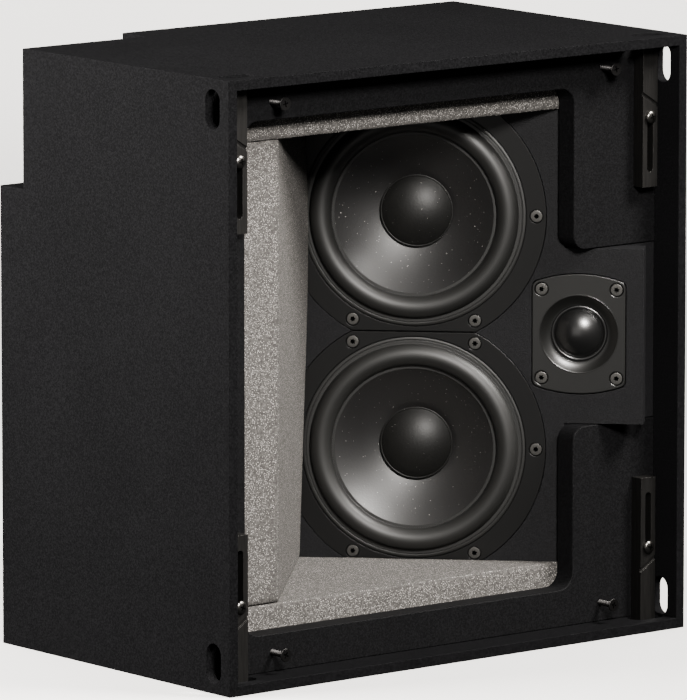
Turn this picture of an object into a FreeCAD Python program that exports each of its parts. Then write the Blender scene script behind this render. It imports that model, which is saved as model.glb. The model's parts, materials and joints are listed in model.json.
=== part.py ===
# Ceiling speaker: a box cabinet with two woofers and a tweeter on a baffle turned towards the room.
# Millimetres; +Z up, the open front faces -Y, the origin is under the middle of the cabinet.
import FreeCAD
import Part
import os
import re
import Sketcher

SIZES = {
    # Cabinet boards
    "cabinet_width": 388,
    "cabinet_depth": 243,
    "cabinet_height": 400,
    "wall_thickness": 16,
    "back_thickness": 16,
    "lip_thickness": 7,
    "recess_width": 102,
    "recess_height": 93,
    "recess_depth": 25,
    "recess_board": 16,
    # Slots in the front lip, two in each wall
    "slot_inset": 20,
    "slot_setback": 16.8,
    "slot_length": 26,
    "slot_width": 14.6,
    # Panel inside the lip, with the sound opening and the notch for the end of the baffle
    "panel_setback": 24,
    "panel_thickness": 16,
    "opening_margin": 32,
    "opening_right_margin": 78,
    "opening_radius": 11,
    "notch_height": 119,
    "notch_radius": 10,
    "notch_gap": 0.5,
    # Baffle, measured from its right front edge
    "baffle_tilt": 45,
    "baffle_edge_inset": 35,
    "baffle_edge_setback": 2.5,
    "baffle_thickness": 16,
    "end_block_setback": 1,
    # Sound well beside the baffle
    "well_width": 224.5,
    "side_foam_thickness": 25,
    "floor_foam_thickness": 32,
    "well_side_thickness": 12,
    "foam_gap": 0.3,
    # Woofer frame
    "driver_rise": 1.3,
    "woofer_offset": 153.6,
    "woofer_spacing": 157,
    "frame_gap": 0.4,
    "flange_radius": 88.4,
    "flange_thickness": 5,
    "seat_radius": 75.2,
    "seat_depth": 2,
    "mouth_radius": 70,
    "basket_wall": 2.5,
    "foot_radius": 50,
    "spider_depth": 36,
    "spider_ledge_radius": 38,
    "motor_depth": 48.5,
    "basket_base_radius": 47,
    "basket_base_hole": 26,
    "woofer_hole_radius": 73.4,
    "window_inner_radius": 52,
    "window_outer_radius": 66,
    "window_half_angle": 21,
    # Woofer screws
    "woofer_screw_circle": 81.8,
    "woofer_screw_head": 4.3,
    "woofer_screw_head_height": 2.4,
    "woofer_screw_shank": 2,
    "woofer_screw_length": 12,
    "woofer_socket_radius": 1.75,
    "woofer_socket_depth": 1.4,
    "counterbore_depth": 3.2,
    "screw_gap": 0.2,
    # Moving parts of the woofer
    "cone_radius": 55.3,
    "cone_rim_width": 2.2,
    "cone_depth": 26,
    "cone_wall": 0.9,
    "cone_neck_wall": 1.26,
    "cone_flare": 100,
    "glue_gap": 0.3,
    "roll_wall": 0.8,
    "cap_radius": 24.4,
    "cap_height": 9,
    "cap_wall": 0.7,
    "cap_rim_wall": 1.05,
    "former_radius": 19.2,
    "former_wall": 0.4,
    "former_stand": 2,
    "winding_wall": 0.7,
    "winding_length": 14,
    "spider_wall": 0.5,
    "spider_wave": 2,
    # Woofer motor
    "gap_radius": 20.6,
    "top_plate_radius": 45,
    "top_plate_thickness": 6,
    "magnet_radius": 44,
    "magnet_hole_radius": 24,
    "magnet_thickness": 15.5,
    "pole_radius": 18.2,
    "vent_radius": 6,
    "yoke_radius": 43,
    "yoke_thickness": 6,
    # Tweeter
    "tweeter_offset": 43.2,
    "faceplate_width": 62.4,
    "faceplate_side": 69,
    "faceplate_arc": 87,
    "faceplate_corner": 5,
    "faceplate_thickness": 4,
    "waveguide_radius": 25.8,
    "waveguide_depth": 2.8,
    "waveguide_curve": 12,
    "dome_ring_radius": 19.4,
    "dome_roll_radius": 19,
    "dome_radius": 16.4,
    "dome_height": 6.5,
    "dome_roll_height": 1.3,
    "dome_wall": 0.3,
    "dome_lip": 0.8,
    "tweeter_hole_radius": 25,
    "tweeter_coil_wall": 0.4,
    "tweeter_coil_length": 7,
    "tweeter_gap": 0.6,
    "tweeter_plate_thickness": 3,
    "tweeter_motor_radius": 24,
    "tweeter_magnet_thickness": 10,
    "tweeter_magnet_gap": 2,
    "tweeter_yoke_thickness": 4,
    "tweeter_screw_across": 50,
    "tweeter_screw_up": 59.6,
    "tweeter_screw_head": 4.3,
    "tweeter_screw_head_height": 1.8,
    "tweeter_screw_recess": 2,
    "tweeter_screw_shank": 1.6,
    "tweeter_screw_length": 11,
    "tweeter_socket_radius": 1.5,
    "tweeter_socket_depth": 1.1,
    # Clamp bars and their screws
    "bar_width": 12.7,
    "bar_thickness": 9.5,
    "bar_length": 97,
    "bar_end_inset": 5,
    "bar_panel_gap": 0.3,
    "bar_slot_width": 5.1,
    "bar_travel": 34,
    "bar_stop_gap": 0.5,
    "bar_screw_inset": 55,
    "bar_groove_inset": 38,
    "bar_groove_rise": 8,
    "bar_groove_width": 3,
    "bar_groove_depth": 1,
    "clamp_screw_head": 4.4,
    "clamp_screw_head_height": 2.6,
    "clamp_screw_shank": 2.1,
    "clamp_screw_bite": 14,
    "spare_screw_inset": 54,
    "spare_screw_stand": 12,
    # Terminals in the rear recess
    "terminal_plate_width": 60,
    "terminal_plate_height": 50,
    "terminal_plate_thickness": 3,
    "terminal_spacing": 19,
    "terminal_stud": 3,
    "terminal_stud_length": 22,
    "terminal_collar": 5.5,
    "terminal_collar_height": 4,
    "terminal_knob": 6,
    "terminal_knob_height": 11,
    "terminal_bore": 2.05,
    "terminal_bore_depth": 12,
    "terminal_screw_edge": 5,
    "terminal_screw_head": 2.8,
    "terminal_screw_head_height": 1.6,
    "terminal_screw_shank": 1.5,
    "terminal_screw_length": 12,
    # Crossover on the back board
    "crossover_inset": 44,
    "crossover_rise": 60,
    "crossover_width": 90,
    "crossover_height": 110,
    "crossover_board": 1.6,
    "standoff_height": 6,
    "standoff_radius": 4,
    "standoff_edge": 6,
    "coil_outer_radius": 19,
    "coil_inner_radius": 9,
    "coil_height": 16,
    "coil_spacing": 42,
    "coil_edge": 12,
    "capacitor_radius": 8,
    "capacitor_length": 32,
    "capacitor_spacing": 19,
    "capacitor_edge": 12,
}

WOOFER_SCREWS = 6
SOCKET_SIDES = 6
SPIDER_WAVES = 3
CAPACITORS = 3

doc = FreeCAD.newDocument("CeilingSpeaker")
sheet = doc.addObject("Spreadsheet::Sheet", "Sizes")
for row, (alias, size) in enumerate(SIZES.items(), start=1):
    sheet.set(f"A{row}", alias)
    sheet.set(f"B{row}", str(size))
    sheet.setAlias(f"B{row}", alias)
doc.recompute()

# Planes that several pieces share
LEFT = "-cabinet_width/2"
RIGHT = "cabinet_width/2"
FRONT = "-cabinet_depth/2"
REAR = "cabinet_depth/2"
MIDDLE = "cabinet_height/2"
PANEL_FRONT = f"({FRONT} + panel_setback)"
SEAT = "(panel_setback + panel_thickness)"
PANEL_REAR = f"({FRONT} + {SEAT})"
INNER_HEIGHT = "(cabinet_height - 2*wall_thickness)"
RECESS_REAR = f"({REAR} - recess_depth)"
BACK_INNER = f"({REAR} - back_thickness)"
BAFFLE_LENGTH = "(well_width + side_foam_thickness + well_side_thickness)"
SIDE_INNER = "(well_width + side_foam_thickness)"
DRIVER_LEVEL = f"({MIDDLE} + driver_rise)"
WOOFER_LEVELS = {
    "upper": f"({DRIVER_LEVEL} + woofer_spacing/2)",
    "lower": f"({DRIVER_LEVEL} - woofer_spacing/2)",
}

nodes = []


def bound(expression):
    """Point each size named in an expression at its cell of the sheet."""
    def cell(word):
        return f"Sizes.{word[0]}" if word[0] in SIZES else word[0]
    return re.sub(r"[a-z_]+", cell, str(expression))


def value(expression):
    """Number that an expression has with the sheet as it stands."""
    return float(sheet.evalExpression(bound(expression)))


def bind(item, **expressions):
    """Tie properties to expressions; two underscores in a name stand for a dot."""
    for name, expression in expressions.items():
        item.setExpression(name.replace("__", "."), bound(expression))


def along_at(depth, inward):
    """Place along the baffle where a line inside it meets a plane some depth behind the rim."""
    return f"(-({depth} - baffle_edge_setback - ({inward})*cos(baffle_tilt))/sin(baffle_tilt))"


def inward_at(depth, along):
    """Distance behind the baffle face where a line square to it meets a plane behind the rim."""
    return f"(({depth} - baffle_edge_setback + ({along})*sin(baffle_tilt))/cos(baffle_tilt))"


def well_end(along, gap="0"):
    """Front end of a line square to the baffle, at the panel or, in a narrow cabinet, at the left wall."""
    room = f"(cabinet_width - wall_thickness - {gap} - baffle_edge_inset)"
    at_wall = f"(-({room} + ({along})*cos(baffle_tilt))/sin(baffle_tilt))"
    at_panel = inward_at(f"({SEAT} + {gap})", along)
    return f"max({at_panel}; {at_wall})"


def on_baffle(item, along="0", rise="0"):
    """Turn a piece with the baffle and set its origin on the baffle face."""
    turn = FreeCAD.Rotation(FreeCAD.Vector(0, 0, -1), value("baffle_tilt"))
    item.Placement = FreeCAD.Placement(FreeCAD.Vector(), turn)
    bind(
        item,
        Placement__Rotation__Angle="baffle_tilt",
        Placement__Base__x=f"{RIGHT} - baffle_edge_inset + ({along})*cos(baffle_tilt)",
        Placement__Base__y=f"{FRONT} + baffle_edge_setback - ({along})*sin(baffle_tilt)",
        Placement__Base__z=rise,
    )


def new_body(name):
    """Body that becomes the node of the same name."""
    body = doc.addObject("PartDesign::Body", name)
    body.Label = name
    nodes.append(body)
    return body


def origin_feature(body, role):
    return next(item for item in body.Origin.OriginFeatures if item.Role == role)


def new_sketch(body, role, offset="0"):
    """Sketch on one of the body's own origin planes, moved along that plane's normal."""
    sketch = body.newObject("Sketcher::SketchObject", f"{body.Name}_sketch")
    sketch.AttachmentSupport = [(origin_feature(body, role), "")]
    sketch.MapMode = "FlatFace"
    if offset != "0":
        bind(sketch, AttachmentOffset__Base__z=offset)
    return sketch


def tie(sketch, kind, expression, *points):
    """Dimension in a sketch, held by an expression."""
    index = sketch.addConstraint(Sketcher.Constraint(kind, *points, value(expression)))
    sketch.setExpression(f"Constraints[{index}]", bound(expression))


def pin(sketch, geometry, point, x, y):
    """Hold a point of a sketch at its distances from the sketch's origin."""
    for kind, axis, expression in (("DistanceX", -2, x), ("DistanceY", -1, y)):
        if expression == "0":
            sketch.addConstraint(Sketcher.Constraint("PointOnObject", geometry, point, axis))
        else:
            tie(sketch, kind, expression, -1, 1, geometry, point)


def arc_through(start, end, radius):
    """Short arc between two points, turning left for a positive radius and right for a negative one."""
    half = (end - start) * 0.5
    sagitta = abs(radius) - max(radius * radius - half.Length ** 2, 0.0) ** 0.5
    side = FreeCAD.Vector(half.y, -half.x, 0).normalize() * sagitta
    if radius > 0:
        return Part.Arc(start, start + half + side, end)
    return Part.Arc(end, start + half - side, start)


def outline(sketch, vertices):
    """Closed outline; a vertex with a third entry starts an arc of that radius."""
    corners = [FreeCAD.Vector(value(vertex[0]), value(vertex[1]), 0) for vertex in vertices]
    count = len(vertices)
    first = sketch.GeometryCount
    begins = []
    for index, vertex in enumerate(vertices):
        start = corners[index]
        end = corners[(index + 1) % count]
        if len(vertex) == 2:
            sketch.addGeometry(Part.LineSegment(start, end))
            begins.append(1)
        else:
            radius = value(vertex[2])
            sketch.addGeometry(arc_through(start, end, radius))
            begins.append(1 if radius > 0 else 2)
    for index, vertex in enumerate(vertices):
        following = (index + 1) % count
        joint = (first + index, 3 - begins[index], first + following, begins[following])
        sketch.addConstraint(Sketcher.Constraint("Coincident", *joint))
        pin(sketch, first + index, begins[index], vertex[0], vertex[1])
        if len(vertex) == 3:
            tie(sketch, "Radius", vertex[2].lstrip("-"), first + index)


def circle(sketch, x, y, radius):
    """Circle held by its centre and radius."""
    centre = FreeCAD.Vector(value(x), value(y), 0)
    index = sketch.addGeometry(Part.Circle(centre, FreeCAD.Vector(0, 0, 1), value(radius)))
    pin(sketch, index, 3, x, y)
    tie(sketch, "Radius", radius, index)


def obround(sketch, first, last, width):
    """Slot with round ends about two centres."""
    start = FreeCAD.Vector(value(first[0]), value(first[1]), 0)
    end = FreeCAD.Vector(value(last[0]), value(last[1]), 0)
    radius = value(width) / 2
    run = (end - start).normalize() * radius
    side = FreeCAD.Vector(-run.y, run.x, 0)
    base = sketch.GeometryCount
    sketch.addGeometry(Part.LineSegment(start - side, end - side))
    sketch.addGeometry(Part.Arc(end - side, end + run, end + side))
    sketch.addGeometry(Part.LineSegment(end + side, start + side))
    sketch.addGeometry(Part.Arc(start + side, start - run, start - side))
    for index in range(4):
        following = base + (index + 1) % 4
        sketch.addConstraint(Sketcher.Constraint("Tangent", base + index, 2, following, 1))
    pin(sketch, base + 1, 3, *last)
    pin(sketch, base + 3, 3, *first)
    tie(sketch, "Radius", f"{width}/2", base + 1)


def extrude(kind, body, role, start, length, draw):
    """Pad or pocket from a plane; on XZ_Plane it runs towards +Y, on XY_Plane towards +Z."""
    offset = f"-({start})" if role == "XZ_Plane" and start != "0" else start
    sketch = new_sketch(body, role, offset)
    draw(sketch)
    feature = body.newObject(f"PartDesign::{kind}", f"{body.Name}_{kind.lower()}")
    feature.Profile = sketch
    if length is None:
        feature.Type = "ThroughAll"
        feature.Midplane = True
    else:
        bind(feature, Length=length)
        feature.Reversed = (role == "XZ_Plane") == (kind == "Pad")
    doc.recompute()
    return feature


def pad(body, role, start, length, *vertices):
    return extrude("Pad", body, role, start, length, lambda sketch: outline(sketch, vertices))


def cut(body, role, *vertices):
    """Opening right through a body."""
    return extrude("Pocket", body, role, "0", None, lambda sketch: outline(sketch, vertices))


def holes(body, role, centres, radius, start="0", depth=None):
    """Round holes, right through or to a depth."""
    def draw(sketch):
        for x, y in centres:
            circle(sketch, x, y, radius)
    return extrude("Pocket", body, role, start, depth, draw)


def rectangle(left, low, right, high):
    return (left, low), (right, low), (right, high), (left, high)


def revolve(name, *vertices):
    """Turned piece about Y: the first coordinate is the radius, the second the depth."""
    body = new_body(name)
    sketch = new_sketch(body, "XY_Plane")
    outline(sketch, vertices)
    feature = body.newObject("PartDesign::Revolution", f"{name}_revolution")
    feature.Profile = sketch
    feature.ReferenceAxis = (sketch, ["V_Axis"])
    feature.Angle = 360
    return body


def around(count, radius):
    """Centres spread evenly on a circle."""
    turns = [360 / count * step for step in range(count)]
    return [(f"({radius})*cos({turn})", f"({radius})*sin({turn})") for turn in turns]


def shifted(centres, x, y):
    return [(f"({x}) + {place[0]}", f"({y}) + {place[1]}") for place in centres]


def screw_set(name, centres, front, head_radius, head_height, shank_radius, shank_length, socket=None):
    """Like screws in one node, pointing +Y, with the faces of their heads at the front depth.

    A socket is given by the radius of its corners and its depth.
    """
    body = new_body(name)
    shank_start = f"({front}) + {head_height}"
    for start, radius, length in (
        (front, head_radius, head_height),
        (shank_start, shank_radius, shank_length),
    ):
        def draw(sketch):
            for x, y in centres:
                circle(sketch, x, y, radius)
        extrude("Pad", body, "XZ_Plane", start, length, draw)
    if socket:
        corners = around(SOCKET_SIDES, socket[0])

        def draw_sockets(sketch):
            for x, y in centres:
                outline(sketch, shifted(corners, x, y))
        extrude("Pocket", body, "XZ_Plane", front, socket[1], draw_sockets)
    return body


def corner_places(across, up):
    """Four places, mirrored about the middle of the front."""
    sides = (f"-({across})", across)
    levels = (up, f"cabinet_height - ({up})")
    return [(x, z) for z in levels for x in sides]


# Cabinet

def mitred_outline(side, thickness):
    """Section of one wall of the box, mitred into its neighbours."""
    near = f"{LEFT} + {thickness}"
    far = f"{RIGHT} - {thickness}"
    high = f"cabinet_height - {thickness}"
    sections = {
        "left": ((LEFT, "0"), (near, thickness), (near, high), (LEFT, "cabinet_height")),
        "right": ((RIGHT, "0"), (RIGHT, "cabinet_height"), (far, high), (far, thickness)),
        "bottom": ((LEFT, "0"), (RIGHT, "0"), (far, thickness), (near, thickness)),
        "top": ((LEFT, "cabinet_height"), (near, high), (far, high), (RIGHT, "cabinet_height")),
    }
    return sections[side]


def cabinet_wall(side, name):
    """Wall with a thin lip round the panel, full thickness behind it, and two slots in the lip."""
    body = new_body(name)
    pad(body, "XZ_Plane", FRONT, SEAT, *mitred_outline(side, "lip_thickness"))
    pad(body, "XZ_Plane", PANEL_REAR, f"cabinet_depth - {SEAT}", *mitred_outline(side, "wall_thickness"))
    half = "(slot_length - slot_width)/2"
    depth = f"{FRONT} + slot_setback"
    upright = side in ("left", "right")
    if upright:
        middles = ("slot_inset", "cabinet_height - slot_inset")
        ends = [((depth, f"{middle} - {half}"), (depth, f"{middle} + {half}")) for middle in middles]
    else:
        middles = (f"{LEFT} + slot_inset", f"{RIGHT} - slot_inset")
        ends = [((f"{middle} - {half}", depth), (f"{middle} + {half}", depth)) for middle in middles]

    def draw(sketch):
        for first, last in ends:
            obround(sketch, first, last, "slot_width")
    extrude("Pocket", body, "YZ_Plane" if upright else "XY_Plane", "0", None, draw)
    return body


left_wall = cabinet_wall("left", "left_side_panel")
cabinet_wall("right", "right_side_panel")
top_wall = cabinet_wall("top", "top_panel")
cabinet_wall("bottom", "bottom_panel")

# Rear corner stepped in for the terminals
recess_low = "cabinet_height - recess_height"
recess_right = f"{LEFT} + recess_width"
cut(left_wall, "YZ_Plane", *rectangle(RECESS_REAR, recess_low, REAR, "cabinet_height"))
cut(top_wall, "XY_Plane", *rectangle(LEFT, RECESS_REAR, recess_right, REAR))

inner_left = f"{LEFT} + wall_thickness"
inner_right = f"{RIGHT} - wall_thickness"
inner_top = "cabinet_height - wall_thickness"
back = new_body("back_panel")
pad(
    back, "XZ_Plane", BACK_INNER, "back_thickness",
    (inner_left, "wall_thickness"),
    (inner_right, "wall_thickness"),
    (inner_right, inner_top),
    (recess_right, inner_top),
    (recess_right, recess_low),
    (inner_left, recess_low),
)

recess_front = f"{RECESS_REAR} - recess_board"
recess_run = "(recess_depth - back_thickness + recess_board)"
recess_back = new_body("recess_back_panel")
pad(
    recess_back, "XZ_Plane", recess_front, "recess_board",
    *rectangle(inner_left, recess_low, recess_right, inner_top),
)
recess_side = new_body("recess_side_panel")
pad(
    recess_side, "XZ_Plane", recess_front, recess_run,
    *rectangle(recess_right, f"{recess_low} - recess_board", f"{recess_right} + recess_board", inner_top),
)
recess_floor = new_body("recess_floor_panel")
pad(
    recess_floor, "XZ_Plane", recess_front, recess_run,
    *rectangle(inner_left, f"{recess_low} - recess_board", recess_right, recess_low),
)

# Panel inside the lip
panel_left = f"{LEFT} + lip_thickness"
panel_right = f"{RIGHT} - lip_thickness"
panel_top = "cabinet_height - lip_thickness"
opening_left = f"{LEFT} + opening_margin"
opening_right = f"{RIGHT} - opening_right_margin"
opening_top = "cabinet_height - opening_margin"
notch_low = f"{MIDDLE} - notch_height/2"
notch_high = f"{MIDDLE} + notch_height/2"
panel = new_body("mounting_panel")
pad(
    panel, "XZ_Plane", PANEL_FRONT, "panel_thickness",
    (panel_left, "lip_thickness"),
    (panel_right, "lip_thickness"),
    (panel_right, notch_low),
    (f"{opening_right} + notch_radius", notch_low, "notch_radius"),
    (opening_right, f"{notch_low} - notch_radius"),
    (opening_right, "opening_margin + opening_radius", "-opening_radius"),
    (f"{opening_right} - opening_radius", "opening_margin"),
    (f"{opening_left} + opening_radius", "opening_margin", "-opening_radius"),
    (opening_left, "opening_margin + opening_radius"),
    (opening_left, f"{opening_top} - opening_radius", "-opening_radius"),
    (f"{opening_left} + opening_radius", opening_top),
    (f"{opening_right} - opening_radius", opening_top, "-opening_radius"),
    (opening_right, f"{opening_top} - opening_radius"),
    (opening_right, f"{notch_high} + notch_radius", "notch_radius"),
    (f"{opening_right} + notch_radius", notch_high),
    (panel_right, notch_high),
    (panel_right, panel_top),
    (panel_left, panel_top),
)
clamp_places = corner_places(f"{RIGHT} - slot_inset", "bar_screw_inset")
spare_places = corner_places(f"{RIGHT} - spare_screw_inset", "slot_inset")
holes(panel, "XZ_Plane", clamp_places + spare_places, "clamp_screw_shank + screw_gap")

# Baffle with its tongue, drawn in the baffle's own frame: x runs along it, y into the cabinet
baffle = new_body("baffle")
on_baffle(baffle)
bevel_front = along_at(SEAT, "0")
bevel_rear = along_at(SEAT, "baffle_thickness")
pad(
    baffle, "XY_Plane", "wall_thickness", INNER_HEIGHT,
    (f"-{BAFFLE_LENGTH}", "0"),
    (bevel_front, "0"),
    (bevel_rear, "baffle_thickness"),
    (f"-{BAFFLE_LENGTH}", "baffle_thickness"),
)
tongue_height = "(notch_height - 2*notch_gap)"
pad(
    baffle, "XY_Plane", f"{MIDDLE} - {tongue_height}/2", tongue_height,
    (bevel_front, "0"),
    ("0", "0"),
    ("0", "baffle_thickness"),
    (bevel_rear, "baffle_thickness"),
)

rebate_radius = "(flange_radius + frame_gap)"
rebate_reach = f"sqrt({rebate_radius}^2 - (woofer_spacing/2)^2)"
woofer_screw_places = around(WOOFER_SCREWS, "woofer_screw_circle")
for level in WOOFER_LEVELS.values():
    rebate = (
        (f"-woofer_offset - {rebate_reach}", f"{level} - woofer_spacing/2"),
        (f"-woofer_offset + {rebate_reach}", f"{level} - woofer_spacing/2", rebate_radius),
        (f"-woofer_offset + {rebate_reach}", f"{level} + woofer_spacing/2"),
        (f"-woofer_offset - {rebate_reach}", f"{level} + woofer_spacing/2", rebate_radius),
    )
    extrude(
        "Pocket", baffle, "XZ_Plane", "0", "flange_thickness",
        lambda sketch: outline(sketch, rebate),
    )
    holes(baffle, "XZ_Plane", [("-woofer_offset", level)], "woofer_hole_radius")
    pilot_places = shifted(woofer_screw_places, "-woofer_offset", level)
    holes(baffle, "XZ_Plane", pilot_places, "woofer_screw_shank + screw_gap")


def faceplate_outline(x, z, gap):
    """Tweeter plate: straight sides with bowed ends, and corners rounded into both."""
    half = f"(faceplate_width/2 + {gap})"
    bow_centre = f"(faceplate_side/2 + {gap} - sqrt(faceplate_arc^2 - {half}^2))"
    inner_arc = "(faceplate_arc - faceplate_corner)"
    corner_x = f"({half} - faceplate_corner)"
    corner_rise = f"sqrt({inner_arc}^2 - {corner_x}^2)"
    side = f"({bow_centre} + {corner_rise})"
    end_x = f"({corner_x}*faceplate_arc/{inner_arc})"
    end_z = f"({bow_centre} + {corner_rise}*faceplate_arc/{inner_arc})"
    bow, corner = "faceplate_arc", "faceplate_corner"
    points = (
        (-1, end_x, -1, end_z, bow),
        (1, end_x, -1, end_z, corner),
        (1, half, -1, side),
        (1, half, 1, side, corner),
        (1, end_x, 1, end_z, bow),
        (-1, end_x, 1, end_z, corner),
        (-1, half, 1, side),
        (-1, half, -1, side, corner),
    )
    return [
        (f"({x}) + {right}*{across}", f"({z}) + {up}*{rise}", *arc)
        for right, across, up, rise, *arc in points
    ]


tweeter_screw_places = [
    (f"{across}*tweeter_screw_across/2", f"{up}*tweeter_screw_up/2") for across in (-1, 1) for up in (-1, 1)
]
extrude(
    "Pocket", baffle, "XZ_Plane", "0", "faceplate_thickness",
    lambda sketch: outline(sketch, faceplate_outline("-tweeter_offset", DRIVER_LEVEL, "frame_gap")),
)
holes(baffle, "XZ_Plane", [("-tweeter_offset", DRIVER_LEVEL)], "tweeter_hole_radius")
tweeter_pilots = shifted(tweeter_screw_places, "-tweeter_offset", DRIVER_LEVEL)
holes(baffle, "XZ_Plane", tweeter_pilots, "tweeter_screw_shank + screw_gap")

# Filler between the tongue and the right wall
block = new_body("baffle_end_block")
on_baffle(block)
block_reach = "(baffle_edge_inset - lip_thickness)"


def against_wall(depth):
    """Point on the lip of the right wall, in the baffle's frame."""
    behind = f"({depth} - baffle_edge_setback)"
    along = f"{block_reach}*cos(baffle_tilt) - {behind}*sin(baffle_tilt)"
    inward = f"{block_reach}*sin(baffle_tilt) + {behind}*cos(baffle_tilt)"
    return along, inward


block_edge = "-(tweeter_offset - tweeter_hole_radius)"
block_front = "(panel_setback + end_block_setback)"
pad(
    block, "XY_Plane", f"{MIDDLE} - {tongue_height}/2", tongue_height,
    (block_edge, "baffle_thickness"),
    (along_at(block_front, "baffle_thickness"), "baffle_thickness"),
    against_wall(block_front),
    against_wall(SEAT),
    (block_edge, inward_at(SEAT, block_edge)),
)

# Sound well: a side board square to the baffle, lined with foam
well_side = new_body("well_side_panel")
on_baffle(well_side)
pad(
    well_side, "XY_Plane", "wall_thickness", INNER_HEIGHT,
    (f"-{BAFFLE_LENGTH}", "0"),
    (f"-{BAFFLE_LENGTH}", well_end(f"-{BAFFLE_LENGTH}")),
    (f"-{SIDE_INNER}", well_end(f"-{SIDE_INNER}")),
    (f"-{SIDE_INNER}", "0"),
)
foam_floor = "(wall_thickness + floor_foam_thickness)"
left_foam = new_body("left_foam")
on_baffle(left_foam)
foam_face = "-well_width"
foam_back = f"-{SIDE_INNER} + foam_gap"
pad(
    left_foam, "XY_Plane", foam_floor, f"cabinet_height - 2*{foam_floor}",
    (foam_back, "-foam_gap"),
    (foam_back, well_end(foam_back, "foam_gap")),
    (foam_face, well_end(foam_face, "foam_gap")),
    (foam_face, "-foam_gap"),
)
for name, start in (
    ("bottom_foam", "wall_thickness"),
    ("top_foam", f"cabinet_height - {foam_floor}"),
):
    foam = new_body(name)
    on_baffle(foam)
    pad(
        foam, "XY_Plane", start, "floor_foam_thickness",
        (foam_back, "-foam_gap"),
        (foam_back, well_end(foam_back, "foam_gap")),
        (along_at(f"({SEAT} + foam_gap)", "-foam_gap"), "-foam_gap"),
    )

# Woofers

def woofer_basket(name):
    """Cast frame: a flange with two flats, six spokes round the windows, and a cup for the motor."""
    body = revolve(
        name,
        ("seat_radius", "0"),
        ("flange_radius", "0"),
        ("flange_radius", "flange_thickness"),
        ("mouth_radius + basket_wall", "flange_thickness"),
        ("foot_radius", "spider_depth + basket_wall"),
        ("basket_base_radius", "motor_depth"),
        ("basket_base_hole", "motor_depth"),
        ("basket_base_hole", "motor_depth - basket_wall"),
        ("basket_base_radius - basket_wall", "motor_depth - basket_wall"),
        ("foot_radius - basket_wall", "spider_depth + basket_wall"),
        ("spider_ledge_radius", "spider_depth + basket_wall"),
        ("spider_ledge_radius", "spider_depth"),
        ("foot_radius - basket_wall", "spider_depth"),
        ("mouth_radius", "flange_thickness"),
        ("mouth_radius", "seat_depth"),
        ("seat_radius", "seat_depth"),
    )
    flat = "woofer_spacing/2 - frame_gap"
    for low, high in ((flat, "flange_radius"), ("-flange_radius", f"-({flat})")):
        cut(body, "XZ_Plane", *rectangle("-flange_radius", low, "flange_radius", high))
    place = [("woofer_screw_circle", "0")]
    bore = holes(body, "XZ_Plane", place, "woofer_screw_shank + screw_gap")
    counterbore = holes(
        body, "XZ_Plane", place, "woofer_screw_head + screw_gap", depth="counterbore_depth",
    )
    centre = 180 / WOOFER_SCREWS
    low = f"({centre} - window_half_angle)"
    high = f"({centre} + window_half_angle)"
    window = cut(
        body, "XZ_Plane",
        (f"window_inner_radius*cos({low})", f"window_inner_radius*sin({low})"),
        (f"window_outer_radius*cos({low})", f"window_outer_radius*sin({low})", "window_outer_radius"),
        (f"window_outer_radius*cos({high})", f"window_outer_radius*sin({high})"),
        (f"window_inner_radius*cos({high})", f"window_inner_radius*sin({high})", "-window_inner_radius"),
    )
    pattern = body.newObject("PartDesign::PolarPattern", f"{name}_pattern")
    pattern.Originals = [bore, counterbore, window]
    pattern.Axis = (origin_feature(body, "Y_Axis"), [""])
    pattern.Angle = 360
    pattern.Occurrences = WOOFER_SCREWS
    body.Tip = pattern
    return body


def woofer_surround(name):
    """Rubber half roll between the seat of the frame and the edge of the cone."""
    middle = "(mouth_radius + cone_radius)/2"
    outer = "((mouth_radius - cone_radius)/2)"
    inner = f"({outer} - roll_wall)"
    spread = f"sqrt({outer}^2 - roll_wall^2)"
    front = "seat_depth - roll_wall"
    return revolve(
        name,
        ("seat_radius - glue_gap", "seat_depth"),
        ("seat_radius - glue_gap", front),
        (f"{middle} + {spread}", front, f"-{outer}"),
        (middle, f"seat_depth - {outer}", f"-{outer}"),
        (f"{middle} - {spread}", front),
        ("cone_radius - cone_rim_width", front),
        ("cone_radius - cone_rim_width", "seat_depth"),
        (f"{middle} - {inner}", "seat_depth", inner),
        (middle, f"seat_depth - {inner}", inner),
        (f"{middle} + {inner}", "seat_depth"),
    )


def woofer_cone(name):
    """Flared cone with a flat rim under the surround."""
    rim = "seat_depth + glue_gap"
    shoulder = "cone_radius - cone_rim_width"
    neck = "former_radius + glue_gap"
    return revolve(
        name,
        ("cone_radius", rim),
        (shoulder, rim, "-cone_flare"),
        (neck, "cone_depth"),
        (neck, "cone_depth + cone_neck_wall", "cone_flare"),
        (shoulder, f"{rim} + cone_wall"),
        ("cone_radius", f"{rim} + cone_wall"),
    )


def cone_face_depth():
    """Depth of the cone's face where the rim of the dust cap stands, on the chord of its flare."""
    rim = "(seat_depth + glue_gap)"
    run = "(cone_radius - cone_rim_width - former_radius - glue_gap)"
    share = f"(cone_radius - cone_rim_width - cap_radius)/{run}"
    sagitta = f"({run}^2 + (cone_depth - {rim})^2)/(8*cone_flare)"
    return f"({rim} + (cone_depth - {rim})*{share} - {sagitta})"


def woofer_dust_cap(name):
    """Thin dome over the neck of the cone."""
    base = cone_face_depth()
    inner = "(cap_radius - cap_rim_wall)"
    height = "(cap_height - cap_wall)"
    return revolve(
        name,
        ("0", f"{base} - cap_height", "((cap_radius^2 + cap_height^2)/(2*cap_height))"),
        ("cap_radius", base),
        (inner, base, f"-(({inner}^2 + {height}^2)/(2*{height}))"),
        ("0", f"{base} - {height}"),
    )


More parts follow.
